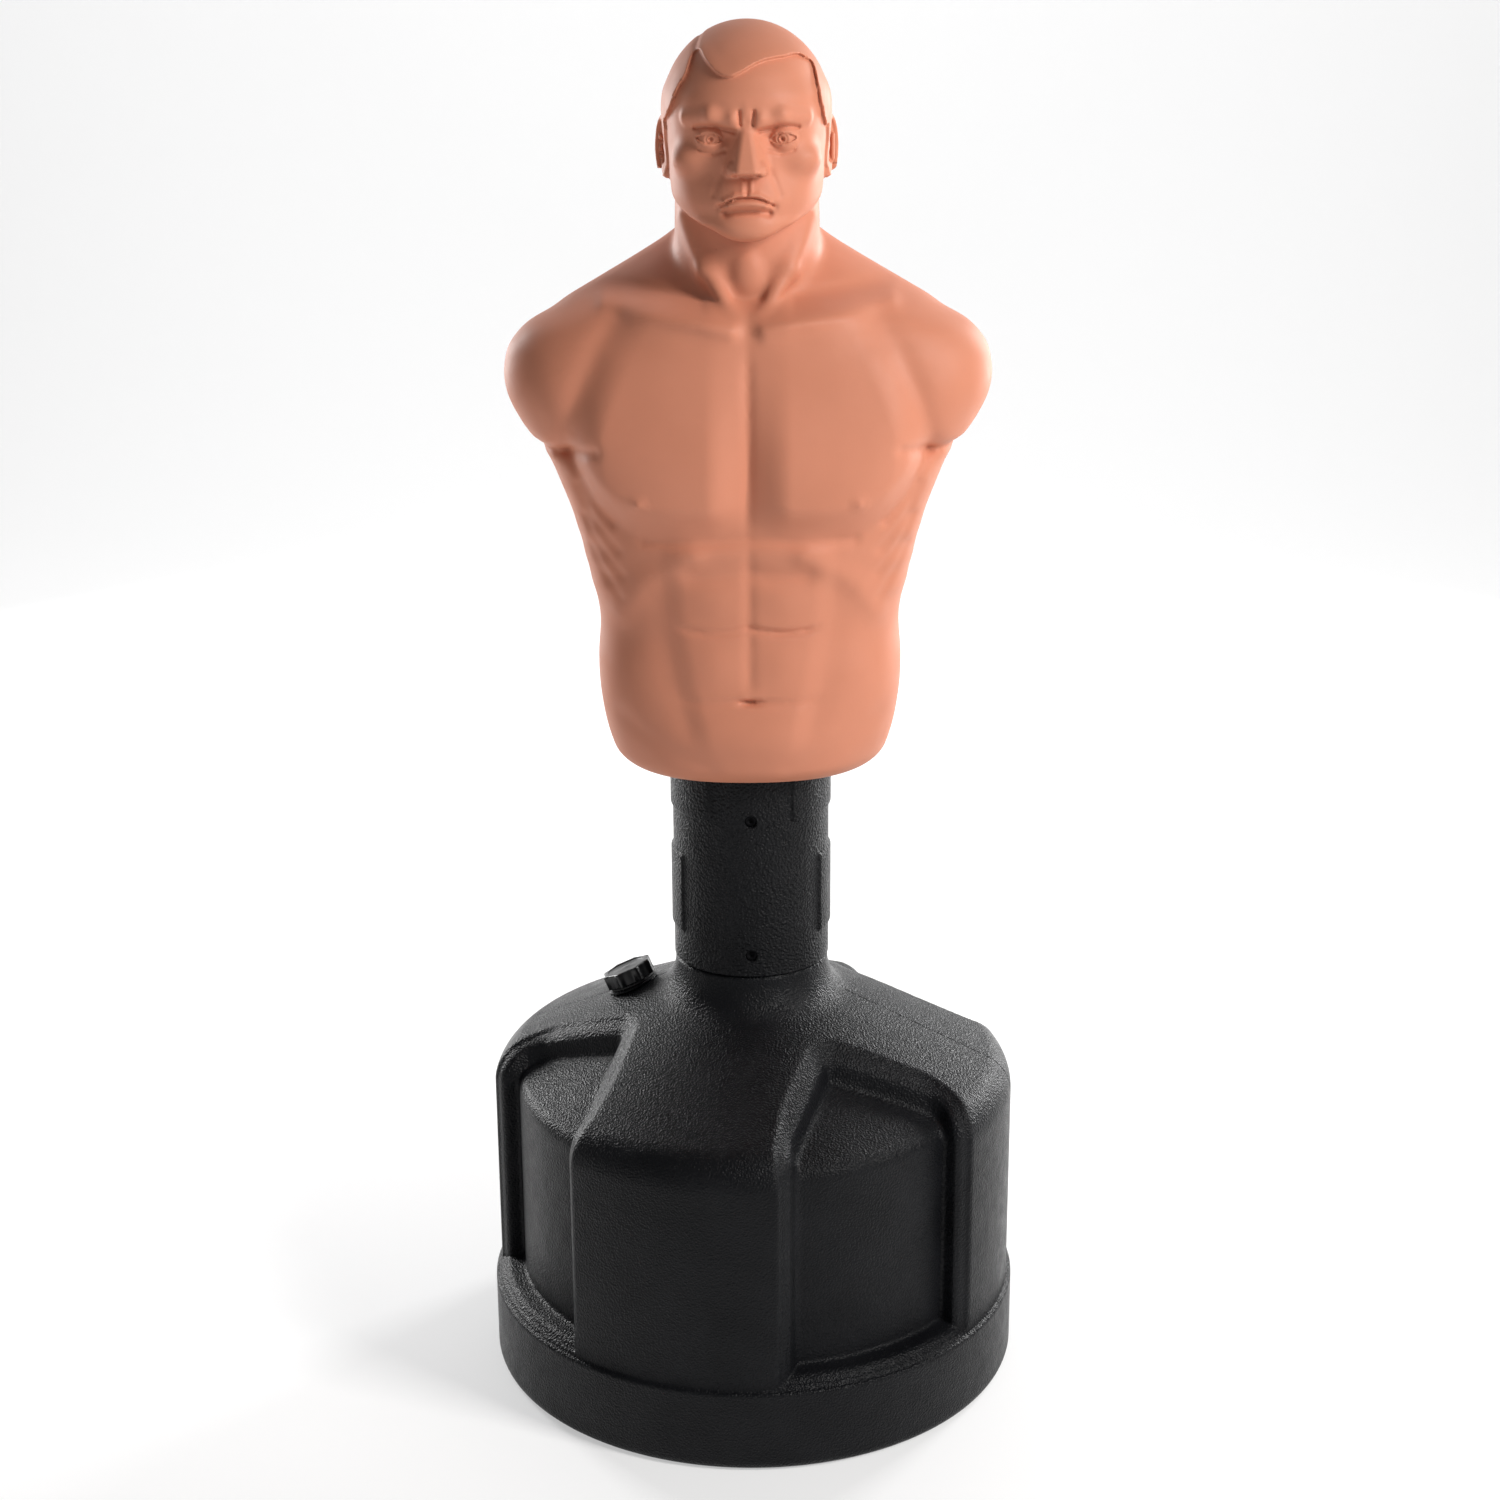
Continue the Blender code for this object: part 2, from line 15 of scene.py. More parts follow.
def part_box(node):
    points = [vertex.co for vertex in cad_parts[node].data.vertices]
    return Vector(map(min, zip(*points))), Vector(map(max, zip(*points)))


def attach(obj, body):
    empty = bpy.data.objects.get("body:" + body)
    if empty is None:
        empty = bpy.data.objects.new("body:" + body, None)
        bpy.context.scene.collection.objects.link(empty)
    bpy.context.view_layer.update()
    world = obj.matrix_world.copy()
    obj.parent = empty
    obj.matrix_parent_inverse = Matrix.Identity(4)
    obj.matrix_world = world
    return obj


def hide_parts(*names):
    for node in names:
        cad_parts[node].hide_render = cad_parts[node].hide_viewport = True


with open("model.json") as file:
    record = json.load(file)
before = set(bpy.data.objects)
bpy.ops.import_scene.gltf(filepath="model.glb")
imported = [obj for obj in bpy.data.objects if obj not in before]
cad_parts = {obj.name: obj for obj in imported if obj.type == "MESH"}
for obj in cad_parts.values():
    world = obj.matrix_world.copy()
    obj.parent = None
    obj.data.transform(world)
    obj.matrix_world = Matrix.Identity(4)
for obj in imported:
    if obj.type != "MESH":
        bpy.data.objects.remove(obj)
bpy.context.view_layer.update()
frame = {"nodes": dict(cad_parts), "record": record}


# ---------------- field tools

def smooth_step(low, high, value):
    t = np.clip((value - low) / (high - low), 0.0, 1.0)
    return t * t * (3 - 2 * t)


def join(a, b, blend):
    """Union of two fields, with a smooth fillet about as wide as blend."""
    h = np.clip(0.5 + 0.5 * (b - a) / blend, 0.0, 1.0)
    return b + (a - b) * h - blend * h * (1 - h)


def carve(a, b, blend):
    """Field a with the form b taken out of it."""
    return -join(-a, b, blend)


def round_max(a, b, radius):
    """Corner between two surfaces, rounded to a radius."""
    outside = np.hypot(np.maximum(a + radius, 0), np.maximum(b + radius, 0))
    return np.minimum(np.maximum(a, b), -radius) + outside


def curve_through(knots, values, at):
    """Smooth curve through (knot, value) pairs, level beyond its ends."""
    knots = np.asarray(knots, float)
    values = np.asarray(values, float)
    slopes = np.gradient(values, knots)
    at = np.clip(at, knots[0], knots[-1])
    i = np.clip(np.searchsorted(knots, at) - 1, 0, len(knots) - 2)
    span = knots[i + 1] - knots[i]
    t = (at - knots[i]) / span
    t2 = t * t
    t3 = t2 * t
    return ((2 * t3 - 3 * t2 + 1) * values[i] + (t3 - 2 * t2 + t) * span * slopes[i]
            + (3 * t2 - 2 * t3) * values[i + 1] + (t3 - t2) * span * slopes[i + 1])


def ellipsoid(p, centre, size):
    size = np.asarray(size, float)
    q = (p - np.asarray(centre, float)) / size
    k0 = np.sqrt((q * q).sum(1)) + 1e-9
    k1 = np.sqrt(((q / size) ** 2).sum(1)) + 1e-9
    return k0 * (k0 - 1) / k1


def limb(p, start, end, start_radius, end_radius):
    """A rod whose radius changes evenly from one end to the other."""
    start = np.asarray(start, float)
    axis = np.asarray(end, float) - start
    t = np.clip(((p - start) @ axis) / (axis @ axis), 0, 1)
    offset = p - start - t[:, None] * axis
    return np.sqrt((offset * offset).sum(1)) - (start_radius + (end_radius - start_radius) * t)


def bell(offset, width):
    """1 where offset is 0, fading to 0 over about a width."""
    return np.exp(-(offset / width) ** 2)


def line_distance(x, z, points):
    """Distance in the front view from (x, z) to a line through points."""
    best = np.full(x.shape, 9.0)
    for (x0, z0), (x1, z1) in zip(points, points[1:]):
        dx = x1 - x0
        dz = z1 - z0
        t = np.clip(((x - x0) * dx + (z - z0) * dz) / (dx * dx + dz * dz), 0, 1)
        best = np.minimum(best, np.hypot(x - x0 - t * dx, z - z0 - t * dz))
    return best


def stroke(x, z, points, width):
    """1 on a line in the front view, fading to 0 over about its width."""
    return bell(line_distance(x, z, points), width)


def dab(x, z, centre, size):
    """1 at a centre in the front view, fading to 0 over a size across and up."""
    return np.exp(-((x - centre[0]) / size[0]) ** 2 - ((z - centre[1]) / size[1]) ** 2)


def marks(x, z, strokes=(), dabs=()):
    """Sum of strokes (rise, width, points...) and dabs (rise, centre, size). A negative rise goes in."""
    total = np.zeros_like(x)
    for rise, width, *points in strokes:
        total += rise * stroke(x, z, points, width)
    for rise, centre, size in dabs:
        total += rise * dab(x, z, centre, size)
    return total


# ---------------- surface from a field

def grid_values(field, low, cell, blocks):
    """Field values on a grid. Blocks far from the surface only keep their sign."""
    per = 4
    axes = [low[i] + cell * per * (np.arange(blocks[i]) + 0.5) for i in range(3)]
    centres = np.stack(np.meshgrid(*axes, indexing="ij"), -1).reshape(-1, 3)
    rough = field(centres).reshape(blocks)
    near = np.abs(rough) < cell * per * 1.25 + 0.004
    index = [np.minimum(np.arange(blocks[i] * per + 1) // per, blocks[i] - 1) for i in range(3)]
    values = rough[np.ix_(*index)]
    wanted = np.argwhere(near[np.ix_(*index)])
    points = np.asarray(low) + wanted * cell
    values[tuple(wanted.T)] = evaluate(field, points)
    return values


def evaluate(field, points, chunk=150000):
    return np.concatenate([field(points[i:i + chunk]) for i in range(0, len(points), chunk)])


def net_surface(values, low, cell):
    """Vertices and quads of the surface through a grid, one vertex in each cell that it crosses."""
    inside = values < 0
    nx, ny, nz = values.shape
    corners = [(i, j, k) for i in (0, 1) for j in (0, 1) for k in (0, 1)]
    count = sum(inside[i:nx - 1 + i, j:ny - 1 + j, k:nz - 1 + k].astype(np.int8) for i, j, k in corners)
    crossed = (count > 0) & (count < 8)
    cells = np.argwhere(crossed)
    number = np.full(crossed.shape, -1)
    number[tuple(cells.T)] = np.arange(len(cells))
    total = np.zeros((len(cells), 3))
    hits = np.zeros(len(cells))
    for a in corners:
        for b in corners:
            if sum(b) - sum(a) != 1 or any(b[i] < a[i] for i in range(3)):
                continue
            va = values[tuple((cells + a).T)]
            vb = values[tuple((cells + b).T)]
            cut = (va < 0) != (vb < 0)
            t = np.where(cut, va / np.where(cut, va - vb, 1), 0)
            place = cells + a + t[:, None] * (np.array(b) - a)
            total += place * cut[:, None]
            hits += cut
    verts = np.asarray(low) + cell * total / hits[:, None]
    quads = []
    for axis in range(3):
        step, side_a, side_b = np.roll(np.eye(3, dtype=int), -axis, 0)
        shape = np.array(values.shape) - step
        first = inside[:shape[0], :shape[1], :shape[2]]
        second = inside[step[0]:, step[1]:, step[2]:]
        edges = np.argwhere(first != second)
        edges = edges[(edges @ side_a > 0) & (edges @ side_b > 0)]
        edges = edges[(edges @ side_a < shape @ side_a - 1) & (edges @ side_b < shape @ side_b - 1)]
        ring = [edges - side_a - side_b, edges - side_b, edges, edges - side_a]
        quad = np.stack([number[tuple(r.T)] for r in ring], 1)
        outward = first[tuple(edges.T)]
        quads.append(np.where(outward[:, None], quad, quad[:, ::-1]))
    return verts, np.concatenate(quads)


def settle(field, verts, reach, rounds=3):
    """Move vertices onto the surface, down the field's slope."""
    step = 0.0003
    for _ in range(rounds):
        value = evaluate(field, verts)
        slope = np.stack([evaluate(field, verts + step * axis) for axis in np.eye(3)], 1)
        slope = (slope - value[:, None]) / step
        size = (slope * slope).sum(1) + 1e-9
        move = -(value / size)[:, None] * slope
        length = np.sqrt((move * move).sum(1)) + 1e-12
        verts = verts + move * np.minimum(1, reach / length)[:, None]
    return verts


def relax(verts, faces, amount):
    """Even out the spacing of the vertices of a quad mesh."""
    total = np.zeros_like(verts)
    hits = np.zeros(len(verts))
    for a, b in ((0, 1), (1, 2), (2, 3), (3, 0)):
        for here, there in ((a, b), (b, a)):
            np.add.at(total, faces[:, here], verts[faces[:, there]])
            np.add.at(hits, faces[:, here], 1)
    return verts + (total / hits[:, None] - verts) * amount


def split_faces(verts, faces, chosen):
    """Cut each chosen quad into four; a neighbour takes the new points on its edges."""
    picked = faces[chosen]
    pairs = np.sort(np.stack([picked, np.roll(picked, -1, 1)], -1).reshape(-1, 2), 1)
    keys = pairs[:, 0] * len(verts) + pairs[:, 1]
    unique, inverse = np.unique(keys, return_inverse=True)
    ends = np.stack([unique // len(verts), unique % len(verts)], 1)
    middle = len(verts) + inverse.reshape(-1, 4)
    centre = len(verts) + len(unique) + np.arange(len(picked))
    new_verts = np.concatenate([verts, verts[ends].mean(1), verts[picked].mean(1)])
    made = [np.stack([picked[:, i], middle[:, i], centre, middle[:, i - 1]], 1) for i in range(4)]
    rest = faces[~chosen]
    rest_keys = np.sort(np.stack([rest, np.roll(rest, -1, 1)], -1), 2)
    rest_keys = rest_keys[..., 0] * len(verts) + rest_keys[..., 1]
    found = np.minimum(np.searchsorted(unique, rest_keys), len(unique) - 1)
    is_split = unique[found] == rest_keys
    beside = is_split.any(1)
    plain = rest[~beside]
    odd = []
    for face, split, place in zip(rest[beside], is_split[beside], found[beside]):
        ring = []
        for i in range(4):
            ring.append(int(face[i]))
            if split[i]:
                ring.append(int(len(verts) + place[i]))
        odd.append(ring)
    return new_verts, np.concatenate(made + [plain]), odd


def grow(name, field, low, high, cell, refine=()):
    """Object on the surface of a field. Each test in refine halves the cell size where it holds."""
    blocks = [max(1, math.ceil((high[i] - low[i]) / (cell * 4))) for i in range(3)]
    verts, faces = net_surface(grid_values(field, low, cell, blocks), low, cell)
    verts = relax(verts, faces, 0.5)
    verts = settle(field, verts, cell)
    odd = []
    for test in refine:
        chosen = test(verts[faces].mean(1))
        verts, faces, new_odd = split_faces(verts, faces, chosen)
        odd += new_odd
        cell /= 2
        verts = settle(field, verts, cell, 2)
    mesh = bpy.data.meshes.new(name)
    mesh.from_pydata(verts.tolist(), [], faces.tolist() + odd)
    mesh.validate()
    return add_mesh(name, mesh)


def add_object(name, data):
    item = bpy.data.objects.new(name, data)
    bpy.context.collection.objects.link(item)
    return item


def add_mesh(name, mesh):
    mesh.shade_smooth()
    return add_object(name, mesh)


def boolean(target, tool, operation="DIFFERENCE"):
    """Cut a tool out of the target, or combine them by another operation. The tool is used up."""
    modifier = target.modifiers.new("cut", "BOOLEAN")
    modifier.operation = operation
    modifier.solver = "EXACT"
    modifier.object = tool
    evaluated = target.evaluated_get(bpy.context.evaluated_depsgraph_get())
    mesh = bpy.data.meshes.new_from_object(evaluated)
    target.modifiers.clear()
    target.data = mesh
    bpy.data.objects.remove(tool)


# ---------------- torso field

# height, half width, middle's depth, reach to front, reach to back, squareness
BODY_SECTIONS = np.array([
    (0.7, 0.118, 0, 0.104, 0.104, 2.3),
    (0.727, 0.14, 0, 0.118, 0.118, 2.3),
    (0.745, 0.15, 0, 0.125, 0.125, 2.3),
    (0.768, 0.1575, 0, 0.1295, 0.13, 2.35),
    (0.805, 0.1635, 0, 0.13, 0.131, 2.4),
    (0.85, 0.1655, 0, 0.1265, 0.126, 2.4),
    (0.897, 0.164, 0, 0.1225, 0.12, 2.4),
    (0.951, 0.175, 0, 0.1225, 0.119, 2.5),
    (1.005, 0.1885, 0, 0.126, 0.124, 2.6),
    (1.04, 0.201, 0, 0.13, 0.13, 2.6),
    (1.076, 0.217, 0, 0.132, 0.136, 2.5),
    (1.111, 0.242, 0, 0.131, 0.14, 2.35),
    (1.145, 0.258, 0, 0.128, 0.142, 2.25),
    (1.17, 0.2595, 0, 0.124, 0.142, 2.2),
    (1.197, 0.25, 0, 0.118, 0.139, 2.15),
    (1.214, 0.233, 0.002, 0.113, 0.135, 2.1),
    (1.229, 0.206, 0.005, 0.104, 0.13, 2.05),
    (1.24, 0.188, 0.01, 0.086, 0.126, 2.0),
    (1.25, 0.169, 0.016, 0.062, 0.121, 2.0),
    (1.264, 0.142, 0.022, 0.044, 0.114, 2.0),
    (1.281, 0.109, 0.028, 0.026, 0.104, 2.0),
    (1.296, 0.082, 0.032, 0.012, 0.096, 2.0),
    (1.33, 0.052, 0.034, 0.006, 0.084, 2.0),
])
TORSO_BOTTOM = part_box("torso_skin")[0][2]


def body_form(p):
    """The torso without its muscles: a stack of rounded outlines."""
    x, y, z = p.T
    heights, *columns = BODY_SECTIONS.T
    width, middle, front, back, square = (curve_through(heights, column, z) for column in columns)
    y = y - middle
    reach = np.where(y < 0, front + middle, back - middle)
    x = np.abs(x)
    ratio = ((x / width) ** square + (np.abs(y) / reach) ** square) ** (1 / square) + 1e-6
    distance = np.hypot(x, y) * (1 - 1 / ratio)
    distance = distance * (1 - 0.35 * smooth_step(1.17, 1.25, z))
    distance = round_max(distance, TORSO_BOTTOM - z, 0.022)
    return round_max(distance, z - 1.33, 0.02)


CHEST_STROKES = [
    (0.0056, 0.0095, (0.018, 1.219), (0.05, 1.2265), (0.1, 1.235), (0.15, 1.243)),
    (-0.0046, 0.008, (0.05, 1.2435), (0.1, 1.2515), (0.148, 1.259)),
    (-0.004, 0.015, (0.136, 1.226), (0.154, 1.198), (0.172, 1.156), (0.184, 1.116)),
    (-0.0055, 0.006, (0.16, 1.094), (0.195, 1.086), (0.225, 1.088)),
]
CHEST_DABS = [
    (-0.003, (0.125, 1.206), (0.034, 0.018)),
    (-0.0014, (0.06, 1.206), (0.03, 0.01)),
    (0.009, (0.214, 1.158), (0.04, 0.05)),
    (-0.012, (0.189, 1.09), (0.017, 0.018)),
    (0.0034, (0.115, 1.042), (0.0042, 0.0038)),
]


def chest_relief(x, z):
    """How far the front muscles stand out of the plain form, by place in the front view."""
    lower = curve_through([0, 0.02, 0.05, 0.09, 0.13, 0.16, 0.185, 0.21],
                          [1.02, 1.012, 1.007, 1.006, 1.015, 1.038, 1.075, 1.12], x)
    side = curve_through([1.0, 1.04, 1.07, 1.1, 1.13, 1.17, 1.2, 1.235],
                         [0.152, 0.17, 0.182, 0.184, 0.177, 0.16, 0.145, 0.127], z)
    up = z - lower
    full = smooth_step(-0.01, 0.036, up) * (1 - 0.78 * smooth_step(0.045, 0.2, up))
    inner = smooth_step(-0.008, 0.045, x)
    outer = 1 - smooth_step(-0.034, 0.012, x - side)
    relief = 0.0185 * full * inner * outer
    groove = smooth_step(0.99, 1.03, z) * (1 - smooth_step(1.165, 1.215, z))
    relief -= 0.0021 * bell(x, 0.0065) * groove
    relief += 0.0007 * smooth_step(0.012, 0.01, np.hypot(x - 0.115, z - 1.042))
    return relief + marks(x, z, CHEST_STROKES, CHEST_DABS)


BELLY_STROKES = [
    (-0.0028, 0.007, (0.0, 1.003), (0.06, 0.9985), (0.11, 0.999)),
    (0.004, 0.014, (0.06, 0.984), (0.115, 0.95), (0.137, 0.915)),
    (-0.0014, 0.015, (0.09, 0.955), (0.094, 0.9), (0.084, 0.85), (0.066, 0.8)),
    (-0.0014, 0.011, (0.138, 0.8), (0.09, 0.77), (0.045, 0.75)),
]
BELLY_DABS = [
    (0.0032, (0.037, 0.937), (0.027, 0.022)),
    (0.0032, (0.037, 0.868), (0.027, 0.028)),
    (0.0036, (0.045, 0.99), (0.055, 0.013)),
    (0.0042, (0.137, 0.838), (0.034, 0.045)),
    (0.004, (0.0, 0.786), (0.075, 0.028)),
]


def belly_relief(x, z, left):
    """left is 1 on the mannequin's left, where the creases are cut deeper, and 0 on its right."""
    edge = curve_through([0.74, 0.79, 0.84, 0.9, 0.96, 1.0], [0.04, 0.052, 0.064, 0.074, 0.08, 0.08], z)
    sheet = smooth_step(0.016, -0.012, x - edge) * smooth_step(1.02, 0.98, z) * smooth_step(0.745, 0.8, z)
    relief = 0.0032 * sheet
    relief -= 0.0019 * bell(x, 0.0068) * smooth_step(0.832, 0.85, z) * smooth_step(1.01, 0.97, z)
    deep = 0.65 + 0.55 * left
    for height, depth, width in ((0.966, 0.0034, 0.0105), (0.9065, 0.004, 0.0042), (0.829, 0.0022, 0.006)):
        sag = 0.0055 * np.sin(np.clip(x / 0.08, 0, 1) * math.pi)
        line = bell(z - height + sag, width)
        relief -= depth * deep * line * smooth_step(0.084, 0.058, x)
    return relief + marks(x, z, BELLY_STROKES, BELLY_DABS)


def navel_relief(x, z):
    """A slit with a small hood over it, and a faint crease to both sides. x is signed."""
    return marks(x, z, dabs=[
        (0.0016, (0, 0.833), (0.015, 0.0045)),
        (-0.0075, (0, 0.8255), (0.0095, 0.0034)),
        (-0.0013, (0, 0.827), (0.04, 0.003)),
    ])


RIB_STROKES = [
    (-0.004, 0.0056, (0.19, 1.086), (0.166, 1.04), (0.144, 1.016)),
    (-0.0025, 0.0054, (0.18, 1.052), (0.166, 1.018), (0.139, 0.985)),
    (-0.0022, 0.0054, (0.174, 1.018), (0.158, 0.985), (0.136, 0.958)),
    (-0.0018, 0.0054, (0.168, 0.985), (0.153, 0.955), (0.138, 0.932)),
]
RIB_DABS = [(0.0026, centre, (0.018, 0.011)) for centre in ((0.164, 1.0), (0.158, 0.968), (0.152, 0.938))]


BACK_STROKES = [
    (-0.004, 0.012, (0.06, 1.06), (0.054, 1.11), (0.062, 1.165)),
    (0.003, 0.01, (0.075, 1.07), (0.07, 1.12), (0.085, 1.165)),
    (0.0045, 0.011, (0.065, 1.172), (0.12, 1.19), (0.185, 1.208)),
    (-0.003, 0.01, (0.1, 1.165), (0.15, 1.178), (0.19, 1.18)),
    (-0.005, 0.009, (0.165, 1.195), (0.18, 1.14), (0.188, 1.092)),
    (-0.005, 0.007, (0.17, 1.084), (0.2, 1.078), (0.225, 1.084)),
    (0.004, 0.02, (0.02, 1.01), (0.045, 1.08), (0.07, 1.17), (0.06, 1.25)),
]
BACK_DABS = [
    (0.006, (0.105, 1.13), (0.045, 0.048)),
    (0.005, (0.16, 1.095), (0.03, 0.022)),
    (0.0065, (0.212, 1.155), (0.04, 0.05)),
    (-0.0025, (0.038, 0.792), (0.012, 0.012)),
    (0.0035, (0.08, 0.76), (0.045, 0.025)),
]


def back_relief(x, z):
    relief = -0.0075 * bell(x, 0.012) * smooth_step(0.75, 0.8, z) * smooth_step(1.26, 1.17, z)
    relief += 0.005 * bell(x - 0.034, 0.022) * smooth_step(0.74, 0.8, z) * smooth_step(1.04, 0.94, z)
    lat = curve_through([0, 0.04, 0.09, 0.14, 0.18], [0.85, 0.875, 0.915, 0.965, 1.01], x)
    sides = smooth_step(1.09, 1.02, z) * smooth_step(0.03, 0.06, x)
    relief += 0.0035 * smooth_step(-0.006, 0.018, z - lat) * sides
    return relief + marks(x, z, BACK_STROKES, BACK_DABS)


def torso_field(p):
    x, y, z = p.T
    side = np.abs(x)
    left = smooth_step(-0.02, 0.02, x)
    front = chest_relief(side, z) + belly_relief(side, z, left) + navel_relief(x, z)
    relief = smooth_step(0.03, -0.045, y) * front
    relief += smooth_step(0.075, 0.0, y) * marks(side, z, RIB_STROKES, RIB_DABS)
    relief += smooth_step(-0.01, 0.06, y) * back_relief(side, z)
    return body_form(p) - relief


def neck_field(q):
    """Neck column with its two cords, and the slope from neck to shoulder. q is mirrored to +X."""
    column = limb(q, (0, 0.002, 1.18), (0, 0.006, 1.4), 0.08, 0.0745)
    cord = limb(q, (0.06, -0.028, 1.325), (0.042, -0.061, 1.275), 0.009, 0.009)
    cord = join(cord, limb(q, (0.042, -0.061, 1.275), (0.012, -0.096, 1.2235), 0.008, 0.0065), 0.01)
    apple = ellipsoid(q, (0, -0.0715, 1.272), (0.01, 0.0065, 0.016))
    field = join(join(column, cord, 0.014), apple, 0.014)
    slope = limb(q, (0.04, 0.058, 1.29), (0.17, 0.028, 1.205), 0.03, 0.03)
    return field, slope


# ---------------- head field

EYE = np.array((0.0372, -0.0815, 1.409))
EYE_RADIUS = 0.0136
EAR = np.array((0.0835, 0.012, 1.394))

# centre and size of each ellipsoid on the skull
FOREHEAD = (0, -0.03, 1.447), (0.0735, 0.077, 0.056)
CHIN = (0, -0.0925, 1.321), (0.025, 0.0145, 0.0125)
CHEEK = (0.0525, -0.068, 1.388), (0.023, 0.021, 0.015)
MUZZLE = (0, -0.087, 1.351), (0.033, 0.0225, 0.024)

# height, half width, reach to front
FACE_SECTIONS = np.array([
    (1.296, 0.02, 0.082),
    (1.306, 0.038, 0.096),
    (1.314, 0.052, 0.102),
    (1.323, 0.064, 0.1045),
    (1.334, 0.0725, 0.101),
    (1.345, 0.0775, 0.102),
    (1.36, 0.08, 0.102),
    (1.38, 0.081, 0.1),
    (1.4, 0.0815, 0.099),
    (1.415, 0.082, 0.102),
    (1.43, 0.082, 0.104),
    (1.45, 0.08, 0.103),
    (1.47, 0.072, 0.09),
])


def mirrored(p):
    q = p.copy()
    q[:, 0] = np.abs(q[:, 0])
    return q


def face_block(q):
    """Front of the head: flat cheeks and a square jaw, cut off under the jawline."""
    x, y, z = q.T
    heights, *columns = FACE_SECTIONS.T
    width, front = (curve_through(heights, column, z) for column in columns)
    square = 2.5
    reach = np.where(y < 0, front, 0.035)
    ratio = ((x / width) ** square + (np.abs(y) / reach) ** square) ** (1 / square) + 1e-6
    side = np.hypot(x, y) * (1 - 1 / ratio) * 0.93
    under = (1.3335 + 0.25 * y + 0.2 * np.maximum(x - 0.012, 0) - z) / 1.05
    block = round_max(side, under, 0.007)
    return round_max(block, z - 1.47, 0.02)


def skull_field(q):
    field = ellipsoid(q, (0, 0.008, 1.4325), (0.0838, 0.101, 0.0875))
    field = join(field, ellipsoid(q, *FOREHEAD), 0.02)
    field = join(field, face_block(q), 0.012)
    field = join(field, ellipsoid(q, *CHIN), 0.012)
    field = join(field, ellipsoid(q, *CHEEK), 0.014)
    return join(field, ellipsoid(q, *MUZZLE), 0.014)


def brow_field(q):
    inner = limb(q, (0.012, -0.1015, 1.4255), (0.035, -0.099, 1.4325), 0.007, 0.0075)
    outer = limb(q, (0.035, -0.099, 1.4325), (0.06, -0.079, 1.43), 0.0075, 0.006)
    return join(inner, outer, 0.006)


def nose_field(q):
    """Wedge with a flat ridge, straight sides and a flat underside, and the two wings."""
    x, y, z = q.T
    drop = 1.42 - z
    ridge = -y - (0.1075 + 0.62 * drop)
    half = 0.005 + 0.15 * drop + 0.42 * np.clip(-ridge, 0, 0.03)
    field = round_max(ridge * 0.85, (x - half) * 0.88, 0.004)
    field = round_max(field, 1.3745 - 0.12 * (y + 0.11) - z, 0.0045)
    field = round_max(field, z - 1.432, 0.01)
    field = np.maximum(field, y + 0.07)
    wing = ellipsoid(q, (0.013, -0.113, 1.3798), (0.0078, 0.0108, 0.0074))
    return join(field, wing, 0.0045)


def lid_field(q):
    """Eyelids: a shell over the eyeball, open in an almond shape."""
    x = q[:, 0] - EYE[0]
    z = q[:, 2] - EYE[2]
    arch = 1 - (x / 0.015) ** 2
    tilt = 0.06 * x
    top = 0.0054 * arch + tilt
    bottom = -0.0048 * arch + tilt
    opening = np.minimum(top - z, z - bottom)
    shell = np.sqrt(((q - EYE) ** 2).sum(1)) - (EYE_RADIUS + 0.0026)
    return -join(-shell, -opening, 0.0005)


FACE_STROKES = [
    (-0.0046, 0.0015, (0, 1.3512), (0.008, 1.3512), (0.017, 1.349), (0.0262, 1.3437)),
    (0.003, 0.003, (0.004, 1.3552), (0.012, 1.3547), (0.023, 1.3485)),
    (0.005, 0.0047, (0, 1.3465), (0.01, 1.3458), (0.018, 1.3432)),
    (-0.0052, 0.0042, (0, 1.3385), (0.014, 1.3383), (0.022, 1.3365)),
    (-0.0013, 0.0022, (0, 1.359), (0, 1.37)),
    (0.0009, 0.002, (0.005, 1.359), (0.0046, 1.369)),
    (-0.0013, 0.0036, (0.0235, 1.377), (0.0295, 1.366), (0.0335, 1.354)),
    (-0.003, 0.0018, (0.0066, 1.424), (0.0074, 1.437)),
    (-0.003, 0.0024, (0.013, 1.4165), (0.032, 1.4205), (0.052, 1.42)),
    (-0.0014, 0.0025, (0.022, 1.3975), (0.034, 1.3945), (0.047, 1.3985)),
]
FACE_DABS = [
    (-0.0022, (0.0285, 1.342), (0.0035, 0.004)),
    (0.003, (0.0145, 1.431), (0.0062, 0.007)),
    (0.0012, (0.0, 1.433), (0.0045, 0.01)),
    (-0.002, (0.04, 1.374), (0.013, 0.016)),
]


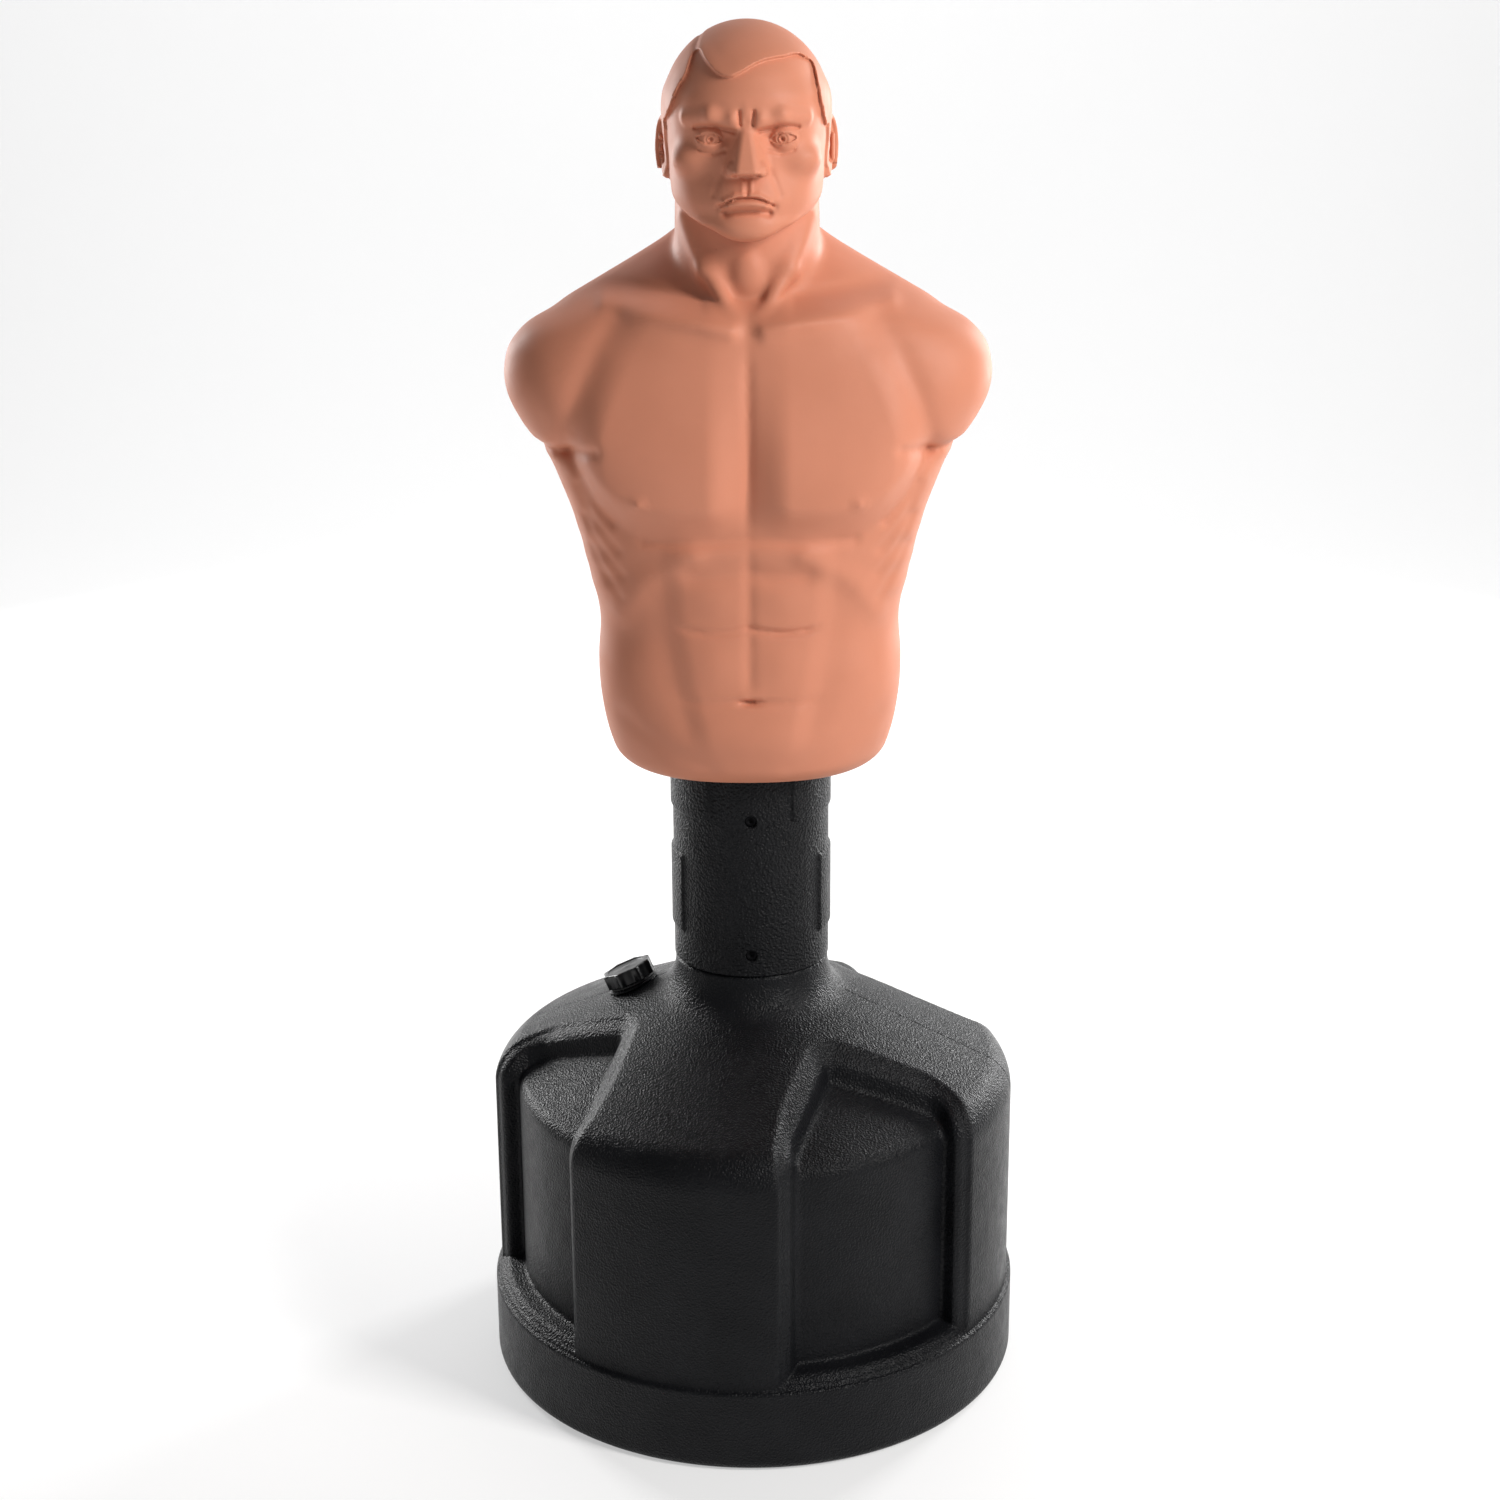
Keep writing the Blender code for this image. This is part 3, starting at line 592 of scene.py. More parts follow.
def ear_field(q):
    """One ear, on the +X side: a bowl with a rolled rim, an inner fold, a tragus and a lobe."""
    lean = math.radians(12)
    flare = math.radians(-24)
    local = q - EAR
    forward = -local[:, 1] * math.cos(lean) + local[:, 2] * math.sin(lean)
    up = local[:, 2] * math.cos(lean) + local[:, 1] * math.sin(lean)
    forward, outward = (forward * math.cos(flare) + local[:, 0] * math.sin(flare),
                        local[:, 0] * math.cos(flare) - forward * math.sin(flare))
    e = np.stack([forward, up, outward], 1)
    narrow = 1 + 0.22 * smooth_step(0.005, -0.03, up)
    e_shape = e * np.stack([narrow, np.ones_like(up), np.ones_like(up)], 1)
    plate = ellipsoid(e_shape, (0, 0, 0.0), (0.0175, 0.032, 0.0056))
    bowl = ellipsoid(e_shape, (0.0015, 0.001, 0.006), (0.012, 0.0215, 0.007))
    field = carve(plate, bowl, 0.0016)
    angle = np.arctan2(up / 0.03, forward / 0.0155)
    rim = np.stack([0.0155 * np.cos(angle) / narrow, 0.03 * np.sin(angle), np.full_like(up, 0.0045)], 1)
    fade = smooth_step(-1.15, -0.55, np.where(angle < -2.2, angle + 2 * math.pi, angle))
    roll = np.sqrt(((e - rim) ** 2).sum(1)) - 0.003 * fade
    field = join(field, roll, 0.0016)
    fold = limb(e, (-0.0075, 0.012, 0.0045), (-0.0065, -0.012, 0.0045), 0.0022, 0.0022)
    field = join(field, fold, 0.002)
    tragus = ellipsoid(e, (0.0115, -0.002, 0.0045), (0.0035, 0.0055, 0.0032))
    lobe = ellipsoid(e, (0.004, -0.024, 0.0015), (0.0085, 0.0085, 0.0045))
    field = join(field, tragus, 0.003)
    return join(field, lobe, 0.004)


def hair_edge(p):
    """Positive inside the moulded hair, by distance from its edge."""
    x, y, z = p.T
    places = [-0.085, -0.076, -0.07, -0.06, -0.054, -0.048, -0.0413, -0.031, -0.0155, -0.005, 0.0103,
              0.036, 0.06, 0.0695, 0.0745, 0.081]
    heights = [1.422, 1.441, 1.456, 1.473, 1.489, 1.4945, 1.4855, 1.475, 1.47, 1.4745, 1.4825,
               1.488, 1.486, 1.474, 1.448, 1.419]
    step = 0.001
    slope = curve_through(places, heights, x + step) - curve_through(places, heights, x - step)
    above = (z - curve_through(places, heights, x)) / np.hypot(1, slope / (2 * step))
    temple = curve_through([1.33, 1.355, 1.375, 1.4, 1.425, 1.45, 1.47],
                           [0.06, 0.03, -0.008, -0.016, -0.04, -0.052, -0.054], z)
    behind = y - temple
    area = np.where(y < -0.03, above, np.maximum(above, behind))
    return np.minimum(area, z - 1.345)


def hair_relief(p):
    """Raised cap of hair, and a parting that runs back from the notch."""
    x, y, z = p.T
    body = 0.003 + 0.0012 * smooth_step(0.02, 0.0, hair_edge(p)) * smooth_step(-0.03, -0.06, y)
    parting = stroke(x, y, [(-0.053, -0.08), (-0.051, -0.03), (-0.045, 0.02)], 0.0032)
    parting = 0.0016 * parting * smooth_step(1.465, 1.48, z)
    return smooth_step(-0.0013, 0.0017, hair_edge(p)) * (body - parting)


def head_field(p):
    q = mirrored(p)
    field = skull_field(q)
    field = join(field, brow_field(q), 0.007)
    socket = ellipsoid(q, (0.0355, -0.1055, 1.4095), (0.0225, 0.019, 0.012))
    field = carve(field, socket, 0.008)
    field = join(field, nose_field(q), 0.005)
    face = smooth_step(-0.055, -0.075, p[:, 1])
    field = field - face * marks(q[:, 0], p[:, 2], FACE_STROKES, FACE_DABS)
    nostril = ellipsoid(q, (0.0096, -0.1215, 1.3742), (0.005, 0.0075, 0.003))
    field = carve(field, nostril, 0.0012)
    field = join(field, lid_field(q), 0.002)
    eyeball = np.sqrt(((q - EYE) ** 2).sum(1)) - EYE_RADIUS
    gaze = np.hypot(q[:, 0] - EYE[0] + 0.001, q[:, 2] - EYE[2] + 0.0002)
    eyeball += 0.0014 * bell(gaze - 0.0048, 0.0008) + 0.005 * bell(gaze, 0.0024)
    field = np.minimum(field, eyeball)
    field = field - hair_relief(p)
    return join(field, ear_field(q), 0.004)


def figure_field(p):
    """Torso, neck and head in one field."""
    value = np.full(len(p), 1.0)
    low = p[:, 2] < 1.36
    high = p[:, 2] > 1.165
    if low.any():
        value[low] = torso_field(p[low])
    if high.any():
        q = p[high]
        neck, slope = neck_field(mirrored(q))
        upper = join(value[high], slope, 0.022)
        upper = join(upper, neck, 0.01)
        value[high] = join(upper, head_field(q), 0.006)
    return value


# ---------------- torso pieces

FINISHED = "finished_"            # goes before the slot's name in a material's name
SKIN = 0.007
FOAM_GAP = 0.0015
INNER_CELL = 0.009
TORSO_ROOM = 0.02                 # round the CAD torso, for the grid that the skin is grown in
MOUTH_ROOM = 0.0008               # between the sleeve and the torso that turns on it
HEAD_FROM = 1.295


def turned(name, outline, columns, radius_at=None):
    """Object turned about Z from (distance, height) points; points on the axis close it.

    columns is a count or a list of angles. radius_at(distance, height, angle) may reshape the turned form.
    """
    if isinstance(columns, int):
        columns = [math.tau * i / columns for i in range(columns)]
    builder = bmesh.new()
    rings = []
    for distance, height in outline:
        ring = []
        for angle in columns if distance > 1e-6 else columns[:1]:
            radius = radius_at(distance, height, angle) if radius_at else distance
            ring.append(builder.verts.new((radius * math.cos(angle), radius * math.sin(angle), height)))
        rings.append(ring)
    for lower, upper in zip(rings, rings[1:] + rings[:1]):
        count = max(len(lower), len(upper))
        if count == 1:
            continue
        for i in range(count):
            j = (i + 1) % count
            corners = [lower[i % len(lower)], lower[j % len(lower)],
                       upper[j % len(upper)], upper[i % len(upper)]]
            builder.faces.new(list(dict.fromkeys(corners)))
    bmesh.ops.recalc_face_normals(builder, faces=builder.faces)
    mesh = bpy.data.meshes.new(name)
    builder.to_mesh(mesh)
    builder.free()
    item = add_mesh(name, mesh)
    mesh.set_sharp_from_angle(angle=math.radians(35))
    return item


def rod(radius, bottom, top, columns, place=Matrix()):
    """Plain cylinder to cut or join with."""
    item = turned("rod", [(0, bottom), (radius, bottom), (radius, top), (0, top)], columns)
    item.matrix_world = place
    return item


def arc(centre, radius, start, end, steps):
    """Points round a centre (distance, height), from one angle to another, in degrees."""
    angles = [math.radians(start + (end - start) * i / steps) for i in range(steps + 1)]
    return [(centre[0] + radius * math.cos(a), centre[1] + radius * math.sin(a)) for a in angles]


def give_material(item, material):
    item.data.materials.clear()
    item.data.materials.append(material)


def dress(item, material, body, node):
    """Give a finished piece its material and body, in place of the CAD node that it stands for."""
    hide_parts(node)
    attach(item, body)
    give_material(item, material)


def make_torso(skin_material, foam_material):
    low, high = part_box("torso_skin")
    low = [v - TORSO_ROOM for v in low]
    high = [v + TORSO_ROOM for v in high]
    cell = 0.0036

    def is_head(c):
        return c[:, 2] > HEAD_FROM

    def is_face(c):
        x, y, z = c.T
        ear = (np.abs(x) > 0.078) & (np.abs(y - EAR[1]) < 0.03) & (np.abs(z - EAR[2]) < 0.04)
        front = (y < -0.072) & (z > 1.315) & (z < 1.445)
        return front | ear | (is_head(c) & (np.abs(hair_edge(c)) < 0.005))

    skin = grow("torso_skin_moulded", figure_field, low, high, cell, (is_head, is_face))
    cavity = grow("cavity", lambda p: figure_field(p) + SKIN, low, high, INNER_CELL)
    sleeve_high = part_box("socket_sleeve")[1]
    mouth = sleeve_high[0] + MOUTH_ROOM
    boolean(cavity, rod(mouth, TORSO_BOTTOM - 0.05, TORSO_BOTTOM + 0.03, 96), "UNION")
    boolean(skin, cavity)
    dress(skin, skin_material, "torso", "torso_skin")

    foam = grow("foam_filling", lambda p: figure_field(p) + SKIN + FOAM_GAP, low, high, INNER_CELL)
    top = sleeve_high[2] + MOUTH_ROOM
    bore = turned("bore", [(0, 0.6), (mouth, 0.6), (mouth, top - 0.034), (mouth - 0.004, top - 0.02),
                           (mouth - 0.014, top - 0.008), (mouth - 0.028, top), (0, top)], 64)
    boolean(foam, bore)
    dress(foam, foam_material, "torso", "foam_core")


# ---------------- base field

BAND_RADIUS = 0.3065
BAND_TOP = 0.0955
BODY_RADIUS = 0.301
SHOULDER_START = 0.3295
SHOULDER_RADIUS = 0.048
CONE = math.radians(24.3)
COLLAR_RADIUS = 0.087
COLLAR_TOP = 0.4927
COLLAR_FILLET = 0.048
STUB_RADIUS = 0.0775
STUB_TOP = 0.716
PANELS = [(29.0, 1), (127.5, 1), (-163.5, -1), (-65.0, -1)]
# sides of a panel's outline in plan: a point on it and the direction out of the panel
PANEL_LONG = [((0.0125, 0.14), (0.538, -0.843)), ((0.133, 0.23), (0.9865, 0.1637))]
PANEL_SHORT = [((-0.01, 0.147), (-0.6525, -0.758)), ((-0.106, 0.235), (-0.859, -0.511)),
               ((-0.1256, 0.2706), (-1.0, 0.0))]
PANEL_LONG_ROUND = 0.036
PANEL_SHORT_ROUND = 0.018
PANEL_TOP_ROUND = 0.028
PANEL_BOTTOM = 0.0985
SEAMS = [math.radians(82), math.radians(-109)]      # parting line of the mould, from the front


def dome_distance(r, z):
    """Signed distance from the body and sloping top, in section."""
    sine, cosine = math.sin(CONE), math.cos(CONE)
    dr = r - (BODY_RADIUS - SHOULDER_RADIUS)
    dz = z - SHOULDER_START
    cone = dr * sine + dz * cosine - SHOULDER_RADIUS
    shoulder = np.hypot(dr, dz) - SHOULDER_RADIUS
    distance = np.where(dz <= 0, r - BODY_RADIUS, np.where(dr * cosine - dz * sine > 0, shoulder, cone))
    fillet_r = COLLAR_RADIUS + COLLAR_FILLET
    start_r = fillet_r - (BODY_RADIUS - SHOULDER_RADIUS)
    fillet_z = SHOULDER_START + (SHOULDER_RADIUS + COLLAR_FILLET - start_r * sine) / cosine
    qr = r - fillet_r
    qz = z - fillet_z
    in_fillet = qr * cosine - qz * sine < 0
    collar = np.where(qz < 0, COLLAR_FILLET - np.hypot(qr, qz), r - COLLAR_RADIUS)
    return np.where(in_fillet & (r < fillet_r), collar, distance)


def house_distance(across, out):
    """Signed distance in plan from a panel's outer edge, with rounded corners."""
    def half(sides, radius):
        distance = None
        for place, outward in sides:
            side = (across - place[0]) * outward[0] + (out - place[1]) * outward[1]
            distance = side if distance is None else round_max(distance, side, radius)
        return distance

    long_half = half(PANEL_LONG, PANEL_LONG_ROUND)
    return round_max(long_half, half(PANEL_SHORT, PANEL_SHORT_ROUND), PANEL_TOP_ROUND)


def panel_depth(p):
    """How deep the recessed panels go under the base's surface."""
    x, y, z = p.T
    deepest = np.zeros(len(p))
    for angle, long_side in PANELS:
        turn_by = math.radians(angle)
        across = (x * math.cos(turn_by) + y * math.sin(turn_by)) * long_side
        out = x * math.sin(turn_by) - y * math.cos(turn_by)
        house = house_distance(across, out)
        house = round_max(house, (PANEL_BOTTOM - z) * 2.2, 0.012)
        depth = curve_through([-0.002, 0.001, 0.004, 0.017, 0.0195, 0.0215, 0.024, 0.0275, 0.032],
                              [0.0, 0.001, 0.003, 0.0098, 0.0122, 0.017, 0.024, 0.0282, 0.0292], -house)
        deepest = np.maximum(deepest, np.where(out > 0.05, depth, 0.0))
    return deepest


def seam_depth(p):
    """Fine groove where the mould's halves met, on the sloping top."""
    x, y, z = p.T
    r = np.hypot(x, y)
    groove = np.zeros(len(p))
    for angle in SEAMS:
        off = x * math.cos(angle) + y * math.sin(angle)
        ahead = x * math.sin(angle) - y * math.cos(angle) > 0
        groove += bell(off, 0.0011) * ahead
    return 0.0009 * groove * smooth_step(0.095, 0.108, r) * smooth_step(0.3, 0.34, z)


def base_field(p):
    x, y, z = p.T
    r = np.hypot(x, y)
    dome = dome_distance(r, z) + panel_depth(p) + seam_depth(p)
    band = round_max(r - BAND_RADIUS, z - BAND_TOP, 0.0035)
    return round_max(join(dome, band, 0.003), -z, 0.01)


def make_base(material):
    low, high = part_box("base_tank")
    cell = 0.0042
    room = 0.01
    low = [v - room for v in low]
    high = [v + room for v in (*high[:2], COLLAR_TOP)]

    def near_seam(c):
        return seam_depth(c) > 0.00002

    def near_wall(c):
        x, y, z = c.T
        depth = panel_depth(c)
        step = (np.abs(z - BAND_TOP) < 0.008) & (np.hypot(x, y) > BODY_RADIUS - 0.004)
        return ((depth > 0.0004) & (depth < 0.0285)) | step | near_seam(c)

    def solid(p):
        return round_max(base_field(p), p[:, 2] - COLLAR_TOP, 0.0012)

    base = grow("base_shell", solid, low, high, cell, (near_wall, near_seam))
    stub = turned("stub", [(0, COLLAR_TOP - 0.03), (STUB_RADIUS, COLLAR_TOP - 0.03),
                           (STUB_RADIUS, STUB_TOP - 0.006), (STUB_RADIUS - 0.006, STUB_TOP),
                           (0, STUB_TOP)], 96)
    boolean(base, stub, "UNION")
    boolean(base, rod(NECK_RADIUS + GAP, -0.02, 0.02, 48, fill_frame()))
    for place in screw_frames().values():
        boolean(base, rod(INSERT_BORE, 0.05, 0.1, 24, place))
    dress(base, material, "base", "base_tank")


# ---------------- fill opening

GAP = 0.0003
NECK_RADIUS = 0.0235
NECK_BORE = 0.0205
NECK_FLANGE = 0.03
NECK_TOP = 0.0168
NECK_BOTTOM = -0.009
NECK_THREADS = 3
CAP_RADIUS = 0.0288
CAP_LOBES = 8
CAP_INNER = 0.0242
CAP_BOTTOM = 0.0062
CAP_TOP = 0.024


def outward_frame(place, axis):
    return Matrix.Translation(place) @ Vector(axis).to_track_quat("Z", "Y").to_matrix().to_4x4()


def fill_frame():
    """Place and tilt of the fill opening, from the cap's joint."""
    for joint in frame["record"]["behaviour"]["joints"]:
        if joint["name"] == "cap_turn":
            return outward_frame(joint["pos_m"], joint["axis"])


def make_fill_neck(material):
    root = NECK_RADIUS - 0.0006
    outline = [(NECK_BORE, NECK_BOTTOM), (NECK_RADIUS, NECK_BOTTOM), (NECK_RADIUS, 0.0006),
               (NECK_FLANGE, 0.0006), (NECK_FLANGE, 0.0024), (NECK_FLANGE - 0.0012, 0.0034), (root, 0.0036)]
    for i in range(NECK_THREADS):
        foot = 0.0066 + i * 0.003
        outline += [(root, foot), (NECK_RADIUS, foot + 0.0007), (NECK_RADIUS, foot + 0.0012),
                    (root, foot + 0.0019)]
    outline += [(root, NECK_TOP - 0.0006), (NECK_RADIUS - 0.0012, NECK_TOP), (NECK_BORE, NECK_TOP)]
    neck = turned("fill_neck_threaded", outline, 64)
    neck.matrix_world = fill_frame()
    dress(neck, material, "base", "fill_neck")


def make_cap(material):
    """Octagonal cap with rounded grips at its corners and a shallow dish in its top."""
    def grip(distance, height, angle):
        if distance < CAP_RADIUS - 0.004 or height < CAP_BOTTOM + 0.0001:
            return distance
        wave = (0.5 + 0.5 * math.cos(CAP_LOBES * angle)) ** 3
        return distance - 0.001 + 0.003 * wave

    outline = [(CAP_INNER, CAP_BOTTOM), (CAP_RADIUS - 0.0026, CAP_BOTTOM),
               (CAP_RADIUS - 0.0008, CAP_BOTTOM + 0.0004), (CAP_RADIUS, CAP_BOTTOM + 0.0014),
               (CAP_RADIUS, CAP_TOP - 0.003)]
    outline += arc((CAP_RADIUS - 0.0024, CAP_TOP - 0.0028), 0.0024, 15, 90, 5)
    outline += [(CAP_RADIUS - 0.005, CAP_TOP - 0.0002), (CAP_RADIUS - 0.0062, CAP_TOP - 0.0014),
                (0.006, CAP_TOP - 0.0014), (0.0045, CAP_TOP - 0.0008), (0, CAP_TOP - 0.0008),
                (0, NECK_TOP + 0.0008), (CAP_INNER, NECK_TOP + 0.0008)]
    cap = turned("fill_cap_octagonal", outline, 192, grip)
    cap.matrix_world = fill_frame()
    dress(cap, material, "cap", "fill_cap")


# ---------------- post

POST_RADIUS = 0.088
POST_INNER = 0.079
POST_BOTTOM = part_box("post_tube")[0][2]
POST_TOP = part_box("post_tube")[1][2]
POST_STRAIGHT_TOP = 1.205
POST_NOSE_RADIUS = 0.055
BLOCK_PROUD = 0.0025
# (bottom, top, degrees from front or back) of each pair of raised side blocks
BLOCKS = [(0.5326, 0.6235, 59)] + [(0.674 + 0.0762 * i, 0.736 + 0.0762 * i, 31) for i in range(7)]
BLOCK_EDGE = 0.0022
SCREW_HEIGHTS = {"lower": 0.5185, "upper": 0.677}
SCREW_SIDES = {"front": -1, "rear": 1}
SCREW_SHANK = 0.0034
SCREW_HEAD = 0.0062
SCREW_TOP = 0.0838                # of the sunk head, from the post's axis
DRIVE_RADIUS = 0.0021
DRIVE_DEPTH = 0.0024
INSERT_BORE = 0.006
SINK_FROM = 0.08
SINK_TO = 0.0832
SINK_ROOM = 0.0006
SINK_MOUTH = 0.008


def screw_frames():
    """Each screw's name, and its frame with Z out along the screw."""
    frames = {}
    for height_name, height in SCREW_HEIGHTS.items():
        for side_name, side in SCREW_SIDES.items():
            frames[f"{side_name}_{height_name}"] = outward_frame((0, 0, height), (0, side, 0))
    return frames


def edge_values(edges, width):
    """Closely spaced values round each edge, so that it can be rounded."""
    return {round(edge + width * t, 6) for edge in edges for t in (-1, -0.6, -0.2, 0.2, 0.6, 1)}


def make_post(material):
    edge_angle = math.degrees(BLOCK_EDGE / POST_RADIUS)
    corners = {quarter for _, _, a in BLOCKS for quarter in (a, 180 - a, 180 + a, 360 - a)}
    degrees = edge_values(corners, edge_angle) | {6, 174, 186, 354}
    degrees |= {a for a in range(0, 360, 4) if min(abs(a - c) for c in corners) > 2 * edge_angle}
    columns = [math.radians(a - 90) for a in sorted(degrees)]

    def block(distance, height, angle):
        if distance < POST_RADIUS - 0.0001:
            return distance
        from_front = math.degrees(angle) + 90
        off_axis = min(from_front % 180, 180 - from_front % 180)
        rise = 0.0
        for bottom, top, first in BLOCKS:
            here = float(smooth_step(first - edge_angle, first + edge_angle, off_axis))
            here *= float(smooth_step(bottom - BLOCK_EDGE, bottom + BLOCK_EDGE, height))
            here *= 1 - float(smooth_step(top - BLOCK_EDGE * 0.6, top + BLOCK_EDGE * 0.6, height))
            rise = max(rise, here)
        return distance + BLOCK_PROUD * rise

    heights = edge_values({h for bottom, top, _ in BLOCKS for h in (bottom, top)}, BLOCK_EDGE)
    heights |= {screw + gap for screw in SCREW_HEIGHTS.values() for gap in (-0.009, 0.009)}
    heights = {h for h in heights if h < POST_STRAIGHT_TOP}
    outline = [(POST_INNER, POST_BOTTOM), (POST_RADIUS - 0.0018, POST_BOTTOM),
               (POST_RADIUS, POST_BOTTOM + 0.0018)]
    outline += [(POST_RADIUS, h) for h in sorted(heights)]
    rise = POST_TOP - POST_STRAIGHT_TOP
    nose = [(POST_NOSE_RADIUS + (POST_RADIUS - POST_NOSE_RADIUS) * math.cos(a),
             POST_STRAIGHT_TOP + rise * math.sin(a)) for a in [math.pi / 2 * i / 8 for i in range(9)]]
    wall = POST_RADIUS - POST_INNER
    outline += nose + [(0, POST_TOP), (0, POST_TOP - wall)]
    outline += [(distance - wall, height - wall) for distance, height in reversed(nose)]
    post = turned("post_tube_grained", outline, columns, block)
    bore = SCREW_SHANK + SINK_ROOM
    sink = SCREW_HEAD + SINK_ROOM
    hole = [(0, 0.06), (bore, 0.06), (bore, SINK_FROM), (sink, SINK_TO), (sink, POST_RADIUS - 0.001),
            (SINK_MOUTH, POST_RADIUS), (SINK_MOUTH, 0.1), (0, 0.1)]
    for place in screw_frames().values():
        tool = turned("tool", hole, 40)
        tool.matrix_world = place
        boolean(post, tool)
    post.data.set_sharp_from_angle(angle=math.radians(30))
    dress(post, material, "base", "post_tube")


def make_screws(material):
    """Countersunk screws with a hexagonal drive."""
    tip = POST_RADIUS - 0.028
    outline = [(0, tip), (SCREW_SHANK - 0.0012, tip), (SCREW_SHANK - 0.0003, tip + 0.0012)]
    pitch = 0.0012
    for i in range(int((SINK_FROM - tip - 0.003) / pitch)):
        foot = tip + 0.0012 + i * pitch
        outline += [(SCREW_SHANK, foot + pitch * 0.4), (SCREW_SHANK - 0.0005, foot + pitch)]
    outline += [(SCREW_SHANK, SINK_FROM + SINK_ROOM), (SCREW_HEAD, SINK_TO),
                (SCREW_HEAD, SCREW_TOP - 0.0003), (SCREW_HEAD - 0.0004, SCREW_TOP), (0, SCREW_TOP)]
    for name, place in screw_frames().items():
        screw = turned(f"post_screw_{name}_threaded", outline, 40)
        boolean(screw, rod(DRIVE_RADIUS, SCREW_TOP - DRIVE_DEPTH, SCREW_TOP + 0.002, 6))
        screw.matrix_world = place
        dress(screw, material, "base", f"post_screw_{name}")


# ---------------- materials

def set_inputs(node, **values):
    """Set sockets by name, with _ for each space."""
    for name, value in values.items():
        node.inputs[name.replace("_", " ")].default_value = value


def new_material(name, color, roughness, **inputs):
    """A material and its shader. The functions below add nodes to the shader's tree."""
    material = bpy.data.materials.new(FINISHED + name)
    material.use_nodes = True
    shader = material.node_tree.nodes["Principled BSDF"]
    set_inputs(shader, Base_Color=(*color, 1), Roughness=roughness, **inputs)
    return material, shader


def add_node(shader, kind, **inputs):
    node = shader.id_data.nodes.new(kind)
    set_inputs(node, **inputs)
    return node


def link(output, target):
    target.id_data.links.new(output, target)


def noise(shader, scale, detail, stretch=(1, 1, 1)):
    place = add_node(shader, "ShaderNodeTexCoord")
    mapping = add_node(shader, "ShaderNodeMapping", Scale=stretch)
    texture = add_node(shader, "ShaderNodeTexNoise", Scale=scale, Detail=detail)
    link(place.outputs["Object"], mapping.inputs["Vector"])
    link(mapping.outputs["Vector"], texture.inputs["Vector"])
    return texture.outputs["Fac"]


def pebbles(shader, scale):
    place = add_node(shader, "ShaderNodeTexCoord")
    texture = add_node(shader, "ShaderNodeTexVoronoi")
    texture.feature = "SMOOTH_F1"
    set_inputs(texture, Scale=scale)
    link(place.outputs["Object"], texture.inputs["Vector"])
    return texture.outputs["Distance"]


def vary_roughness(shader, value, low, high):
    """Roughness that runs from low to high over the middle of a value's range."""
    node = add_node(shader, "ShaderNodeMapRange", From_Min=0.3, From_Max=0.7, To_Min=low, To_Max=high)
    link(value, node.inputs["Value"])
    link(node.outputs["Result"], shader.inputs["Roughness"])


def tint(shader, value, first, second):
    """Base colour that runs from first to second over the middle of a value's range."""
    ramp = add_node(shader, "ShaderNodeValToRGB")
    for element, color, position in zip(ramp.color_ramp.elements, (first, second), (0.3, 0.7)):
        element.color = (*color, 1)
        element.position = position
    link(value, ramp.inputs["Fac"])
    link(ramp.outputs["Color"], shader.inputs["Base Color"])


def bump_layers(shader, *layers):
    """Stack of bumps: (value, strength, depth in metres)."""
    normal = None
    for value, strength, depth in layers:
        bump = add_node(shader, "ShaderNodeBump", Strength=strength, Distance=depth)
        link(value, bump.inputs["Height"])
        if normal:
            link(normal, bump.inputs["Normal"])
        normal = bump.outputs["Normal"]
    link(normal, shader.inputs["Normal"])


def make_vinyl():
    material, shader = new_material("skin_vinyl", (0.6, 0.232, 0.14), 0.54, Specular_IOR_Level=0.24)
    tint(shader, noise(shader, 9, 4), (0.575, 0.22, 0.131), (0.625, 0.244, 0.149))
    vary_roughness(shader, noise(shader, 38, 4), 0.5, 0.6)
    set_inputs(shader, Subsurface_Weight=0.03, Subsurface_Radius=(0.01, 0.004, 0.002), Subsurface_Scale=1.0)
    bump_layers(shader, (noise(shader, 420, 3), 0.12, 0.0004),
                (noise(shader, 30, 2), 0.1, 0.0012))
    return material


def make_grained_plastic(name, color, pebble, depth, roughness, specular):
    """Moulded plastic with a pebbled grain. pebble is the number of grains in a metre."""
    material, shader = new_material(name, color, roughness, Specular_IOR_Level=specular)
    light = tuple(channel * 1.5 + 0.002 for channel in color)
    tint(shader, noise(shader, 16, 4), color, light)
    vary_roughness(shader, noise(shader, 60, 4), roughness - 0.05, roughness + 0.07)
    bump_layers(shader, (pebbles(shader, pebble), 0.55, depth),
                (noise(shader, pebble * 1.7, 2), 0.25, depth))
    return material


def make_smooth_plastic(name, color, roughness):
    material, shader = new_material(name, color, roughness)
    light = tuple(channel * 1.4 + 0.001 for channel in color)
    tint(shader, noise(shader, 45, 3), color, light)
    bump_layers(shader, (noise(shader, 500, 2), 0.1, 0.0002))
    return material


def make_metal(name, color, roughness, brush=(1, 1, 1)):
    material, shader = new_material(name, color, roughness, Metallic=1.0)
    dull = tuple(channel * 0.8 for channel in color)
    tint(shader, noise(shader, 140, 4), dull, color)
    vary_roughness(shader, noise(shader, 600, 3, brush), roughness, roughness + 0.15)
    return material


def make_foam():
    material, shader = new_material("foam", (0.78, 0.7, 0.5), 0.95)
    tint(shader, noise(shader, 25, 5), (0.72, 0.62, 0.42), (0.82, 0.75, 0.56))
    bump_layers(shader, (pebbles(shader, 450), 0.7, 0.0008))
    return material


